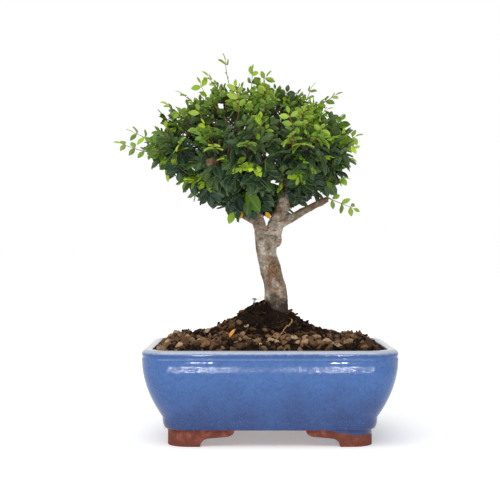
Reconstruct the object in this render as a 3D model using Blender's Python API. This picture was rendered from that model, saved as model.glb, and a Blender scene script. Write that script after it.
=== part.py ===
"""Bonsai tree in a glazed rectangular pot.

Metres, +Z up. The origin is at the middle of the footprint of the whole plant, on the surface
that the feet stand on. The pot's length runs along X. The tree is placed from the pot's middle.
"""
import math
import random

import bmesh
import bpy
import numpy as np
from mathutils import Matrix, Vector
from mathutils.bvhtree import BVHTree

MM = 0.001

# Clearance between pieces that touch
GAP = 0.3 * MM

# Pot
POT_LENGTH = 200 * MM
POT_DEPTH = 148 * MM
POT_HEIGHT = 76 * MM
CORNER_RADIUS = 24 * MM
CORNER_TIGHTENING = 0.35  # how much tighter a corner gets for each unit that the wall draws in
WALL = 8 * MM
FLOOR = 7 * MM
LIP_HEIGHT = 7 * MM  # from the widest line of the wall up to the rim
WALL_DRAW_IN = 15.2 * MM  # from the widest line down to the crease above the foot band
BAND_HEIGHT = 9 * MM
BAND_DRAW_IN = 2.6 * MM
HEEL = 10 * MM  # inside curve between wall and floor
FOOT_HEIGHT = 13 * MM
FOOT_THICKNESS = 9 * MM
FOOT_SETBACK = 1.6 * MM  # of the foot's face behind the edge of the band
FOOT_GAP_LENGTH = 56 * MM  # between the feet under the long side, at the top
FOOT_GAP_DEPTH = 36 * MM  # the same under the short side
DRAIN_DIAMETER = 16 * MM
DRAIN_SPACING = 96 * MM
MESH_SIDE = 28 * MM
MESH_THICKNESS = 1.2 * MM
MESH_HOLES = 2  # along each side
LIP_ROUND = 3.5 * MM  # outer edge of the rim
INNER_LIP_ROUND = 2 * MM
FOOT_EDGE = 1.2 * MM  # small bevel where a foot stands
FOOT_ROOT = 1 * MM  # how far the feet run up into the body, and cutters past a face
CLOUD_SHOULDER = 1 * MM  # the cloud outline between two feet, from the top of the gap down
CLOUD_SCOOP = 7.5 * MM
CLOUD_DROP = 4.4 * MM
CLOUD_LEDGE = 11.5 * MM
CLOUD_LEDGE_FALL = 1 * MM
CLOUD_TOE = 7.5 * MM
CLOUD_SIDE_SCALE = 0.7  # the same outline, shorter, under the short sides

# Soil
SOIL_EDGE_DROP = 4 * MM  # below the rim, where the soil meets the wall
SOIL_LEVEL = 75 * MM  # far from the mound
MOUND_HEIGHT = 37 * MM
MOUND_RADIUS = 31 * MM
MOUND_SIDE = -3 * MM  # the mound's middle, from the pot's middle
MOUND_FRONT_FALL = 1.35  # how much faster the mound falls to the front and the back

# Tree, from the pot's middle
TREE_HEIGHT = 312 * MM
TRUNK_SIDE = 5.8 * MM
TRUNK_RADIUS = 10 * MM
TRUNK_FOOT = 86 * MM
CROWN_SIDE = -15.5 * MM
CROWN_LEVEL = 236 * MM
CROWN_HALF_WIDTH = 81 * MM
CROWN_HALF_DEPTH = 68 * MM
CROWN_RISE = 53 * MM
CROWN_DROP = 44 * MM
CROWN_SPRAYS = 24
LEAF_LENGTH = 15 * MM
LEAF_WIDTH = 8.5 * MM
LEAF_THICKNESS = 0.9 * MM
SHOOT_RADIUS = 0.9 * MM
TWIG_RADIUS = 1.5 * MM
SPRAY_START = 0.60  # of the way from the crown's heart to its outside
LEAF_CLEARANCE = 0.6 * MM
WOOD_CLEARANCE = 0.9 * MM
LEAF_PAIRS = 3

LEAF_OUTLINE = ((0, 0), (0.35, 1), (0.75, 0.72), (1, 0), (0.75, -0.72), (0.35, -1))
LEAF_MIDDLE = 0.45  # where a leaf is thickest, from its base
LEAF_SHARES = (1.0, 0.85, 0.7, 0.55, 0.4)  # of the full length, tried in turn
FIRST_PAIR = 0.35  # where the leaf pairs sit along a shoot
LAST_PAIR = 0.88
SHOOT_TAPER = 0.6
SPRAY_END = 0.88
SPRAY_SWAY = 4 * MM
SPRAY_LIFT = 4 * MM  # foot down and tip up, so that shoots reach for the light
LEAF_LEAN = 0.55  # towards the shoot's tip, against one sideways
LEAF_STAGGER = 0.4 * MM
LEAF_TURN = 0.6
LEAF_TILT = 0.9
CROWN_HIGHEST = 0.97  # how far up the crown the sprays go, as a share of its rise
CROWN_LOWEST = 0.62  # how far down the crown the sprays go, as a share of its drop
TRUNK_TAPER = (1.0, 0.92, 0.89, 0.82, 0.94, 0.86)  # of the trunk's radius, at TRUNK_LINE
TWIG_RUN_IN = 4 * MM  # straight length of a twig before its shoot
TWIG_SHORTEST = 7 * MM  # measured along its shoot
TWIG_SHARE = 0.8  # most that a twig takes of the radius of its limb
TWIG_SAG = 0.12
SAMPLE_STEP = 1.5 * MM
SAMPLES_PER_EDGE = 4
STEM_SAMPLES = 12
STEM_ROOM = 4 * MM  # that the axis of a shoot keeps from limbs and other shoots
TURN_LIMIT = 0.9
TURN_TRIES = 10

# Loose pieces on the soil
PEBBLE_SIZES = (13 * MM, 10 * MM, 12 * MM, 9 * MM, 11 * MM)
PEBBLE_COUNT = 14
PEBBLE_INSET = 9 * MM  # from the wall to the pebbles' middles
FALLEN_LEAF_LENGTH = 9 * MM
FALLEN_LEAF_PLACE = (-34, -44, 130)  # before it is lowered onto the soil
ROOTLET_RADIUS = 0.7 * MM
ROOTLET_ROUTE = ((18, -14, 0), (16, -24, 0), (9, -33, 0), (7, -42, 0), (4, -50, 0))
SEEDLING_FOOT = (-12, -4, 120)
SEEDLING_HEIGHT = 5 * MM
SEEDLING_STEM = 0.6 * MM
SEEDLING_LEAF = 5 * MM
SEEDLING_LEAVES = 4
PEBBLE_CORNERS = 14
PEBBLE_SQUASH = (1.0, 0.8, 0.7)
SETTLE_STEP = 0.05 * MM

# The pot's middle: the whole plant is centred between the left shoot and the right rim
LEFT_SHOOT_REACH = 124 * MM
POT_SIDE = (LEFT_SHOOT_REACH - POT_LENGTH / 2) / 2

# How finely curves are divided
TRUNK_SIDES = 12
LIMB_SIDES = 6
TWIG_SIDES = 4
CORNER_STEPS = 5
BAND_STEPS = 4
WALL_STEPS = 7
LIP_STEPS = 4
HEEL_STEPS = 4
INNER_WALL_STEPS = 4
CLOUD_STEPS = 4
DRAIN_SIDES = 16
SOIL_LONG_STEPS = 7
SOIL_SHORT_STEPS = 5
SOIL_RINGS = (0.04, 0.16, 0.34, 0.52, 0.70, 0.86, 1.0)  # from the wall to the trunk
POCKET_HALF_STEP = math.radians(9)
GOLDEN_ANGLE = math.pi * (3 - math.sqrt(5))
SEED = 11


def from_pot(x, y, z):
    """A point given in millimetres from the pot's middle, on the ground, in metres."""
    return Vector((POT_SIDE + x * MM, y * MM, z * MM))


# The grown wood: each limb is (points in mm from the pot's middle, radius in mm at each point)
LIMBS = {
    "left_fork": (
        [(-4, 0, 158), (-7, -1, 170), (-11, -3, 183), (-18, -6, 205), (-29, -8, 234), (-36, -8, 260)],
        [7.5, 5.8, 5.2, 4.4, 3.2, 1.6],
    ),
    "right_fork": (
        [(0, 1, 158), (6, 1, 174), (12, 2, 192), (15, 3, 216), (14, 3, 240), (6, 2, 264)],
        [8.0, 7.2, 6.2, 5.0, 3.6, 1.8],
    ),
    "low_right": (
        [(6, 0, 172), (16, -3, 178), (27, -6, 184), (38, -8, 190), (48, -9, 194.5)],
        [4.4, 3.8, 3.3, 3.0, 2.6],
    ),
    "low_left": (
        [(-9, -1, 176), (-28, 6, 187), (-50, 11, 200), (-68, 11, 214), (-78, 8, 226)],
        [4.2, 3.6, 3.0, 2.3, 1.4],
    ),
    "back_right": ([(13, 2, 198), (20, 18, 214), (22, 36, 228), (18, 48, 242)], [4.0, 3.2, 2.4, 1.4]),
    "back_left": ([(-16, -4, 198), (-30, 14, 212), (-40, 32, 226), (-42, 44, 240)], [4.0, 3.2, 2.4, 1.4]),
    "front_left": ([(-17, -5, 202), (-28, -22, 216), (-38, -38, 228), (-40, -46, 240)], [3.8, 3.0, 2.3, 1.4]),
    "front_right": ([(15, 2, 208), (24, -16, 220), (28, -34, 230), (24, -46, 242)], [3.8, 3.0, 2.3, 1.4]),
    "upper_right": ([(15, 3, 214), (30, 5, 228), (44, 5, 240), (52, 4, 252)], [3.4, 2.8, 2.2, 1.3]),
}
TRUNK_LINE = [(5.8, 0, 112), (4.6, 0, 123), (1.6, 0, 136), (-1.8, 0, 149), (-2.0, 0, 159), (-1.0, 0, 165)]

# Shoots that stand out of the crown: foot of the stem and tip of its last leaf, in mm as above
LONG_SHOOTS = {
    "left": ((-90, -6, 230), (-124, -8, 239)),
    "upper_left": ((-64, -14, 252), (-85, -18, 272)),
    "top": ((-28, -4, 274), (-34, -6, 312)),
    "upper_right": ((32, -8, 258), (54, -10, 279)),
    "right": ((53, 13, 240), (76, 16, 248)),
    "low_right": ((51, -9.5, 195), (75, -12, 187)),
}


# ---------------------------------------------------------------- mesh helpers
def remove_old_objects():
    """Empty the file before modelling."""
    for old in list(bpy.data.objects):
        bpy.data.objects.remove(old, do_unlink=True)


def make_material(name, colour, roughness, coat=0.0):
    """A Principled material with one colour."""
    material = bpy.data.materials.new(name)
    material.use_nodes = True
    shader = material.node_tree.nodes["Principled BSDF"]
    shader.inputs["Base Color"].default_value = (*colour, 1.0)
    shader.inputs["Roughness"].default_value = roughness
    shader.inputs["Coat Weight"].default_value = coat
    return material


def add_object(name, mesh, material, sharp_degrees=30.0):
    """Link a finished mesh as one named object."""
    mesh.name = name
    mesh.shade_smooth()
    mesh.set_sharp_from_angle(angle=math.radians(sharp_degrees))
    mesh.materials.clear()
    mesh.materials.append(material)
    piece = bpy.data.objects.new(name, mesh)
    bpy.context.scene.collection.objects.link(piece)
    return piece


def mesh_from(points, faces):
    """A mesh from points and faces, with its faces turned outward."""
    mesh = bpy.data.meshes.new("shape")
    mesh.from_pydata([tuple(point) for point in points], [], faces)
    shape = bmesh.new()
    shape.from_mesh(mesh)
    bmesh.ops.recalc_face_normals(shape, faces=shape.faces)
    shape.to_mesh(mesh)
    shape.free()
    return mesh


def skin(rings):
    """Close a stack of rings of equal length into a solid: sides and two end caps."""
    count = len(rings[0])
    points = [point for ring in rings for point in ring]
    faces = []
    for level in range(len(rings) - 1):
        for k in range(count):
            after = (k + 1) % count
            low = level * count
            high = low + count
            faces.append((low + k, low + after, high + after, high + k))
    last = (len(rings) - 1) * count
    faces.append(tuple(reversed(range(count))))
    faces.append(tuple(range(last, last + count)))
    return points, faces


def boolean(base_mesh, other_mesh, operation):
    """The exact union or difference of two meshes, as a new mesh."""
    base = bpy.data.objects.new("base", base_mesh)
    other = bpy.data.objects.new("other", other_mesh)
    for piece in (base, other):
        bpy.context.scene.collection.objects.link(piece)
    modifier = base.modifiers.new("cut", "BOOLEAN")
    modifier.operation = operation
    modifier.solver = "EXACT"
    modifier.object = other
    bpy.context.view_layer.update()
    result = bpy.data.meshes.new_from_object(base.evaluated_get(bpy.context.evaluated_depsgraph_get()))
    for piece in (base, other):
        bpy.data.objects.remove(piece, do_unlink=True)
    return result


def union(shapes):
    """One mesh from overlapping (points, faces) shapes, joined one after another."""
    whole = mesh_from(*shapes[0])
    for shape in shapes[1:]:
        whole = boolean(whole, mesh_from(*shape), "UNION")
    return whole


def smooth_path(points, radii, steps):
    """Points and radii along a Catmull-Rom curve through the given ones."""
    curve = []
    widths = []
    last = len(points) - 1
    for k in range(last):
        before = points[max(k - 1, 0)]
        start = points[k]
        end = points[k + 1]
        after = points[min(k + 2, last)]
        for step in range(steps):
            t = step / steps
            bend = (end - before) * t + (2 * before - 5 * start + 4 * end - after) * t ** 2
            bend = bend + (3 * start - before - 3 * end + after) * t ** 3
            curve.append(start + bend / 2)
            widths.append(radii[k] + (radii[k + 1] - radii[k]) * t)
    return curve + [points[last]], widths + [radii[last]]


def tube(points, radii, sides, turn=0.0):
    """A solid tube along a path, with flat ends."""
    rings = []
    across = None
    for k, point in enumerate(points):
        ahead = points[min(k + 1, len(points) - 1)] - points[max(k - 1, 0)]
        ahead.normalize()
        if across is None:
            across = ahead.orthogonal().normalized()
        across = (across - ahead * across.dot(ahead)).normalized()
        other = ahead.cross(across)
        ring = []
        for side in range(sides):
            angle = turn + 2 * math.pi * side / sides
            ring.append(point + (across * math.cos(angle) + other * math.sin(angle)) * radii[k])
        rings.append(ring)
    return skin(rings)


# ---------------------------------------------------------------- pot
def rounded_rectangle(inset, level, long_steps=1, short_steps=1):
    """A closed outline drawn in from the pot's widest line, counter-clockwise from +X."""
    half_x = POT_LENGTH / 2 - inset
    half_y = POT_DEPTH / 2 - inset
    radius = CORNER_RADIUS - CORNER_TIGHTENING * inset
    corners = []
    for quarter in range(4):
        side_x = 1 if quarter in (0, 3) else -1
        side_y = 1 if quarter in (0, 1) else -1
        middle = Vector((POT_SIDE + side_x * (half_x - radius), side_y * (half_y - radius), level))
        corner = []
        for step in range(CORNER_STEPS + 1):
            angle = (quarter + step / CORNER_STEPS) * math.pi / 2
            corner.append(middle + Vector((math.cos(angle), math.sin(angle), 0)) * radius)
        corners.append(corner)
    ring = []
    for quarter in range(4):
        ring.extend(corners[quarter])
        start = corners[quarter][-1]
        end = corners[(quarter + 1) % 4][0]
        steps = long_steps if quarter % 2 == 0 else short_steps
        for step in range(1, steps):
            ring.append(start.lerp(end, step / steps))
    return ring


def wall_inset(level):
    """How far the outside of the wall is drawn in at a height between the crease and the lip."""
    crease = FOOT_HEIGHT + BAND_HEIGHT
    widest = POT_HEIGHT - LIP_HEIGHT
    share = min(max((level - crease) / (widest - crease), 0.0), 1.0)
    return WALL_DRAW_IN * (1 - share) ** 2


def spread(start, end, count):
    """Evenly spaced values from start to end, both included."""
    return [start + (end - start) * k / (count - 1) for k in range(count)]


def outer_profile():
    """(inset, height) up the outside: foot band, crease, bulging wall and rounded lip."""
    profile = []
    for angle in spread(0, math.pi / 2, BAND_STEPS):
        inset = WALL_DRAW_IN + BAND_DRAW_IN * (1 - math.sin(angle))
        profile.append((inset, FOOT_HEIGHT + BAND_HEIGHT * (1 - math.cos(angle))))
    widest = POT_HEIGHT - LIP_HEIGHT
    for level in spread(FOOT_HEIGHT + BAND_HEIGHT, widest, WALL_STEPS)[1:]:
        profile.append((wall_inset(level), level))
    for angle in spread(0, math.pi / 2, LIP_STEPS):
        inset = LIP_ROUND * (1 - math.cos(angle))
        profile.append((inset, POT_HEIGHT - LIP_ROUND * (1 - math.sin(angle))))
    return profile


def inner_profile(clearance):
    """(inset, height) up the inside, from the floor's edge, kept a clearance off the pot."""
    heel_top = FOOT_HEIGHT + FLOOR + HEEL
    radius = HEEL - clearance
    middle = wall_inset(heel_top) + WALL + HEEL
    profile = []
    for angle in spread(0, math.pi / 2, HEEL_STEPS):
        profile.append((middle - radius * math.sin(angle), heel_top - radius * math.cos(angle)))
    for level in spread(heel_top, POT_HEIGHT - SOIL_EDGE_DROP, INNER_WALL_STEPS)[1:]:
        profile.append((wall_inset(level) + WALL + clearance, level))
    return profile


def foot_gap(half_width, scale):
    """Outline (side, height) of the gap between two cloud feet, a little past the foot all round."""
    right = [(half_width, FOOT_HEIGHT + FOOT_ROOT), (half_width, FOOT_HEIGHT - CLOUD_SHOULDER)]
    for angle in spread(0, math.pi / 2, CLOUD_STEPS)[1:]:
        side = half_width + CLOUD_SCOOP * (1 - math.cos(angle)) * scale
        right.append((side, FOOT_HEIGHT - CLOUD_SHOULDER - CLOUD_DROP * math.sin(angle)))
    ledge = half_width + (CLOUD_SCOOP + CLOUD_LEDGE) * scale
    ledge_height = FOOT_HEIGHT - CLOUD_SHOULDER - CLOUD_DROP - CLOUD_LEDGE_FALL
    for angle in spread(0, math.pi / 2, CLOUD_STEPS):
        right.append((ledge + CLOUD_TOE * math.sin(angle) * scale, ledge_height * math.cos(angle)))
    right.append((ledge + CLOUD_TOE * scale, -FOOT_ROOT))
    left = [(-side, height) for side, height in reversed(right)]
    return right + left


def prism(outline, axis, reach):
    """A solid cut through the whole pot along an axis, from a (side, height) outline."""
    rings = []
    for end in (-reach, reach):
        if axis == "y":
            rings.append([Vector((POT_SIDE + side, end, height)) for side, height in outline])
        else:
            rings.append([Vector((POT_SIDE + end, side, height)) for side, height in outline])
    return mesh_from(*skin(rings))


def feet_mesh():
    """The four cloud feet: a ring under the wall, cut through between the feet."""
    edge = WALL_DRAW_IN + BAND_DRAW_IN + FOOT_SETBACK
    outer = [
        rounded_rectangle(edge + FOOT_EDGE, 0),
        rounded_rectangle(edge, FOOT_EDGE),
        rounded_rectangle(edge, FOOT_HEIGHT + FOOT_ROOT),
    ]
    levels = (-FOOT_ROOT, FOOT_HEIGHT + 2 * FOOT_ROOT)
    inner = [rounded_rectangle(edge + FOOT_THICKNESS, level) for level in levels]
    ring = boolean(mesh_from(*skin(outer)), mesh_from(*skin(inner)), "DIFFERENCE")
    for half_width, scale, axis in (
        (FOOT_GAP_LENGTH / 2, 1.0, "y"),
        (FOOT_GAP_DEPTH / 2, CLOUD_SIDE_SCALE, "x"),
    ):
        ring = boolean(ring, prism(foot_gap(half_width, scale), axis, POT_LENGTH), "DIFFERENCE")
    return ring


def drain_positions():
    """Where the two drain holes are, from the middle of the floor."""
    return [POT_SIDE - DRAIN_SPACING / 2, POT_SIDE + DRAIN_SPACING / 2]


def make_pot(material):
    """The pot: one casting with its wall, lip, floor, drain holes and feet."""
    profile = outer_profile()
    for angle in spread(math.pi / 2, 0, LIP_STEPS):
        inset = WALL - INNER_LIP_ROUND * (1 - math.cos(angle))
        profile.append((inset, POT_HEIGHT - INNER_LIP_ROUND * (1 - math.sin(angle))))
    profile.extend(reversed(inner_profile(0.0)))
    body = mesh_from(*skin([rounded_rectangle(inset, level) for inset, level in profile]))
    for middle in drain_positions():
        bottom = Vector((middle, 0, FOOT_HEIGHT - FOOT_ROOT))
        top = Vector((middle, 0, FOOT_HEIGHT + FLOOR + FOOT_ROOT))
        hole = mesh_from(*tube([bottom, top], [DRAIN_DIAMETER / 2] * 2, DRAIN_SIDES))
        body = boolean(body, hole, "DIFFERENCE")
    add_object("pot", boolean(body, feet_mesh(), "UNION"), material, 40.0)


def make_drain_mesh(name, middle, material):
    """A square of plastic mesh over one drain hole."""
    cells = 2 * MESH_HOLES + 1
    lines = spread(-MESH_SIDE / 2, MESH_SIDE / 2, cells + 1)
    level = FOOT_HEIGHT + FLOOR + GAP
    shape = bmesh.new()
    grid = [[shape.verts.new((middle + x, y, level)) for x in lines] for y in lines]
    for row in range(cells):
        for column in range(cells):
            if row % 2 and column % 2:
                continue
            near = grid[row][column:column + 2]
            far = grid[row + 1][column:column + 2]
            shape.faces.new((near[0], near[1], far[1], far[0]))
    sheet = bmesh.ops.extrude_face_region(shape, geom=shape.faces[:])
    upper = [item for item in sheet["geom"] if isinstance(item, bmesh.types.BMVert)]
    bmesh.ops.translate(shape, verts=upper, vec=(0, 0, MESH_THICKNESS))
    bmesh.ops.recalc_face_normals(shape, faces=shape.faces)
    mesh = bpy.data.meshes.new(name)
    shape.to_mesh(mesh)
    shape.free()
    add_object(name, mesh, material)


# ---------------------------------------------------------------- soil and what lies on it
def soil_level(x, y):
    """Height of the soil's surface away from the wall: level, with a mound round the trunk."""
    side = x - POT_SIDE - MOUND_SIDE
    reach = math.hypot(side, y * MOUND_FRONT_FALL) / MOUND_RADIUS
    return SOIL_LEVEL + MOUND_HEIGHT / (1 + reach ** 2)


def make_soil(material):
    """The soil: fills the pot, and has a pocket for the trunk and recesses for the drain mesh."""
    profile = inner_profile(GAP)
    rings = [rounded_rectangle(inset, level, SOIL_LONG_STEPS, SOIL_SHORT_STEPS) for inset, level in profile]
    trunk = Vector((POT_SIDE + TRUNK_SIDE, 0, 0))
    pocket = (TRUNK_RADIUS + GAP) / math.cos(POCKET_HALF_STEP)
    rim = rings[-1]
    circle = []
    for point in rim:
        outward = Vector((point.x - trunk.x, point.y - trunk.y, 0)).normalized()
        circle.append(trunk + outward * pocket)
    for share in SOIL_RINGS:
        ring = []
        for edge, inside in zip(rim, circle):
            x = edge.x + (inside.x - edge.x) * share
            y = edge.y + (inside.y - edge.y) * share
            rise = min(share / SOIL_RINGS[1], 1.0)
            ring.append(Vector((x, y, edge.z + (soil_level(x, y) - edge.z) * rise)))
        rings.append(ring)
    rings.append([Vector((point.x, point.y, TRUNK_FOOT - GAP)) for point in circle])
    body = mesh_from(*skin(rings))
    for middle in drain_positions():
        half = MESH_SIDE / 2 + GAP
        top = FOOT_HEIGHT + FLOOR + MESH_THICKNESS + 2 * GAP
        square = [(-half, -half), (half, -half), (half, half), (-half, half)]
        corners = [[Vector((middle + x, y, level)) for x, y in square] for level in (FOOT_HEIGHT, top)]
        body = boolean(body, mesh_from(*skin(corners)), "DIFFERENCE")
    return add_object("soil", body, material)


def raised(points, level):
    """The points, moved up by a level."""
    return [point + Vector((0, 0, level)) for point in points]


def settle(shape, ground):
    """Lower a (points, faces) shape straight down until it is one gap above the ground."""
    points, faces = shape
    ground_tree = BVHTree.FromPolygons([vertex.co for vertex in ground.vertices],
                                       [tuple(face.vertices) for face in ground.polygons])
    shape_tree = BVHTree.FromPolygons(points, faces)
    down = Vector((0, 0, -1))
    high = Vector((0, 0, TREE_HEIGHT))
    room = []
    for point in points:
        hit = ground_tree.ray_cast(Vector((point.x, point.y, TREE_HEIGHT)), down)[0]
        room.append(point.z - hit.z)
    for vertex in ground.vertices:
        hit = shape_tree.ray_cast(Vector((vertex.co.x, vertex.co.y, 0)), high)[0]
        if hit and vertex.co.z > SOIL_LEVEL - SOIL_EDGE_DROP:
            room.append(hit.z - vertex.co.z)
    level = -min(room)
    while BVHTree.FromPolygons(raised(points, level), faces).overlap(ground_tree):
        level += SETTLE_STEP
    return raised(points, level + GAP), faces


def make_pebbles(ground, material):
    """Angular pebbles along the wall, each a hull of points on a squashed ball."""
    draw = random.Random(SEED)
    high = SOIL_LEVEL + MOUND_HEIGHT
    ring = rounded_rectangle(WALL + PEBBLE_INSET, high, SOIL_LONG_STEPS, SOIL_SHORT_STEPS)
    lengths = [0.0]
    for k in range(len(ring)):
        lengths.append(lengths[-1] + (ring[(k + 1) % len(ring)] - ring[k]).length)
    for number in range(PEBBLE_COUNT):
        target = (number + draw.uniform(-0.15, 0.15)) / PEBBLE_COUNT % 1.0 * lengths[-1]
        k = max(index for index in range(len(ring)) if lengths[index] <= target)
        share = (target - lengths[k]) / (lengths[k + 1] - lengths[k])
        middle = ring[k].lerp(ring[(k + 1) % len(ring)], share)
        size = PEBBLE_SIZES[number % len(PEBBLE_SIZES)] / 2
        shape = bmesh.new()
        for corner in range(PEBBLE_CORNERS):
            rise = 1 - 2 * (corner + 0.5) / PEBBLE_CORNERS
            angle = corner * GOLDEN_ANGLE + draw.uniform(-0.3, 0.3)
            across = math.sqrt(1 - rise ** 2) * draw.uniform(0.8, 1.0)
            on_ball = Vector((math.cos(angle) * across, math.sin(angle) * across, rise))
            shape.verts.new(middle + on_ball * Vector(PEBBLE_SQUASH) * size)
        bmesh.ops.convex_hull(shape, input=shape.verts)
        shape.verts.index_update()
        points = [vertex.co.copy() for vertex in shape.verts]
        faces = [tuple(vertex.index for vertex in face.verts) for face in shape.faces]
        shape.free()
        add_object(f"pebble_{number + 1:02d}", mesh_from(*settle((points, faces), ground)), material, 20.0)


def leaf(base, along, face, length, width=None):
    """A flat pointed-oval leaf, thickest in its middle, as a closed shape."""
    side = along.cross(face).normalized()
    normal = side.cross(along).normalized()
    half = (width or LEAF_WIDTH * length / LEAF_LENGTH) / 2
    crown = LEAF_THICKNESS / 2
    points = [base + along * (length * reach) + side * (half * wide) for reach, wide in LEAF_OUTLINE]
    middle = base + along * (length * LEAF_MIDDLE)
    points.extend([middle + normal * crown, middle - normal * crown])
    count = len(LEAF_OUTLINE)
    faces = []
    for k in range(count):
        after = (k + 1) % count
        faces.append((k, after, count))
        faces.append((after, k, count + 1))
    return points, faces


def make_fallen_leaf(ground, material):
    """One dry leaf on the soil in front of the mound."""
    along = Vector((0.9, 0.25, 0.3)).normalized()
    high = from_pot(*FALLEN_LEAF_PLACE)
    shape = leaf(high, along, Vector((0, 0, 1)), FALLEN_LEAF_LENGTH, FALLEN_LEAF_LENGTH / 2)
    add_object("fallen_leaf", mesh_from(*settle(shape, ground)), material)


def make_rootlet(ground, material):
    """A thin dry rootlet that lies down the front of the mound."""
    ground_tree = BVHTree.FromPolygons([vertex.co for vertex in ground.vertices],
                                       [tuple(face.vertices) for face in ground.polygons])
    route = [from_pot(*point) for point in ROOTLET_ROUTE]
    route, radii = smooth_path(route, [ROOTLET_RADIUS] * len(route), 5)
    for point in route:
        hit, slope = ground_tree.ray_cast(Vector((point.x, point.y, TREE_HEIGHT)), Vector((0, 0, -1)))[:2]
        point.z = hit.z + (ROOTLET_RADIUS + GAP) / slope.z
    add_object("rootlet", mesh_from(*settle(tube(route, radii, 6), ground)), material)


def make_seedling(ground, material):
    """A tiny weed beside the foot of the trunk."""
    foot = from_pot(*SEEDLING_FOOT)
    top = foot + Vector((0, 0, SEEDLING_HEIGHT))
    stem = tube([foot, top], [SEEDLING_STEM] * 2, 6)
    leaves = []
    for number in range(SEEDLING_LEAVES):
        angle = 2 * math.pi * number / SEEDLING_LEAVES + 0.4
        along = Vector((math.cos(angle), math.sin(angle), 0.25)).normalized()
        base = top - along * (SEEDLING_STEM / 2) - Vector((0, 0, SEEDLING_STEM))
        shape = leaf(base, along, Vector((0, 0, 1)), SEEDLING_LEAF, SEEDLING_LEAF / 2)
        leaves.append(shape)
    drop = settle(stem, ground)[0][0] - stem[0][0]
    settled = [([point + drop for point in points], faces) for points, faces in [stem] + leaves]
    add_object("seedling", union(settled), material)


# ---------------------------------------------------------------- tree
def plan_limbs():
    """The trunk and the limbs as (points, radii, sides) tubes."""
    base = [from_pot(TRUNK_SIDE / MM, 0, TRUNK_FOOT / MM)] + [from_pot(*point) for point in TRUNK_LINE]
    radii = [TRUNK_RADIUS] + [TRUNK_RADIUS * share for share in TRUNK_TAPER]
    tubes = [(*smooth_path(base, radii, 3), TRUNK_SIDES)]
    for points, widths in LIMBS.values():
        line, radii = smooth_path([from_pot(*point) for point in points], [width * MM for width in widths], 2)
        tubes.append((line, radii, LIMB_SIDES))
    return tubes


def crown_stem(number, turn, sway):
    """Foot and tip of one of the crown's shoots, at its place on the crown plus a turn."""
    heart = Vector((POT_SIDE + CROWN_SIDE, 0, CROWN_LEVEL))
    rise = CROWN_HIGHEST - (CROWN_HIGHEST + CROWN_LOWEST) * (number + 0.5) / CROWN_SPRAYS
    angle = number * GOLDEN_ANGLE + turn
    across = math.sqrt(1 - rise ** 2)
    height = CROWN_RISE if rise > 0 else CROWN_DROP
    outward = Vector((CROWN_HALF_WIDTH * across * math.cos(angle),
                      CROWN_HALF_DEPTH * across * math.sin(angle), height * rise))
    lift = Vector((0, 0, SPRAY_LIFT))
    return heart + outward * SPRAY_START - lift, heart + outward * SPRAY_END + lift + sway


def plan_sprays(limbs):
    """Foot and tip of the stem of every leafy shoot, clear of the limbs and of each other."""
    sprays = []
    for name, (foot, tip) in LONG_SHOOTS.items():
        foot = from_pot(*foot)
        run = from_pot(*tip) - foot
        sprays.append((f"shoot_{name}", foot, foot + run * (1 - LEAF_LENGTH / run.length)))
    limb_points, limb_radii = wood_samples(limbs)
    draw = random.Random(SEED)
    for number in range(CROWN_SPRAYS):
        sway = Vector([draw.uniform(-1, 1) for _ in range(3)]) * SPRAY_SWAY
        best = None
        for turn in spread(0, TURN_LIMIT, TURN_TRIES):
            foot, tip = crown_stem(number, turn, sway)
            line = np.array([foot.lerp(tip, share) for share in spread(0, 1, STEM_SAMPLES)])
            off_wood = (np.linalg.norm(line[:, None] - limb_points[None], axis=2) - limb_radii).min()
            starts = np.array([other[1] for other in sprays])
            ends = np.array([other[2] for other in sprays])
            room = min(off_wood, stem_distances(line, starts, ends).min())
            if best is None or room > best[0]:
                best = (room, foot, tip)
            if room > STEM_ROOM:
                break
        sprays.append((f"leaf_spray_{number + 1:02d}", best[1], best[2]))
    return sprays


def twig_line(holder, width, foot, ahead):
    """A twig's points and radii, from inside its limb to the foot of its shoot."""
    run_in = foot - ahead * TWIG_RUN_IN
    bend = holder.lerp(run_in, 0.5) + Vector((0, 0, 1)) * (holder - run_in).length * TWIG_SAG
    start_radius = min(TWIG_RADIUS, width * TWIG_SHARE)
    line, radii = smooth_path([holder, bend, run_in], [start_radius, start_radius, SHOOT_RADIUS], 2)
    return line + [foot], radii + [SHOOT_RADIUS]


def nearest_first(holders, foot):
    """The places that can hold a twig, nearest first; those above its foot count as further off."""
    def reach(holder):
        return (holder[0] - foot).length + max(holder[0].z - foot.z, 0)

    return sorted(holders, key=reach)


def plan_twigs(limbs, sprays):
    """A twig to each shoot, from the nearest place on a limb that leaves the other shoots clear."""
    holders = []
    for line, radii, _ in limbs[1:]:
        holders.extend(zip(line[1:-1], radii[1:-1]))
    starts = np.array([foot for _, foot, _ in sprays])
    ends = np.array([tip for _, _, tip in sprays])
    twigs = []
    for own, (_, foot, tip) in enumerate(sprays):
        ahead = (tip - foot).normalized()
        others = [k for k in range(len(sprays)) if k != own]
        best = None
        for holder, width in nearest_first(holders, foot):
            if (foot - holder).dot(ahead) < TWIG_SHORTEST:
                continue
            line, radii = twig_line(holder, width, foot, ahead)
            points, _ = wood_samples([(line, radii, TWIG_SIDES)])
            room = stem_distances(points, starts[others], ends[others]).min()
            if best is None or room > best[0]:
                best = (room, line, radii)
            if room > STEM_ROOM:
                break
        twigs.append((best[1], best[2], TWIG_SIDES))
    return twigs


def make_trunk(wood, material):
    """Trunk, limbs and twigs, grown as one piece of wood."""
    add_object("trunk", union([tube(points, radii, sides) for points, radii, sides in wood]), material, 60.0)


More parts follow.
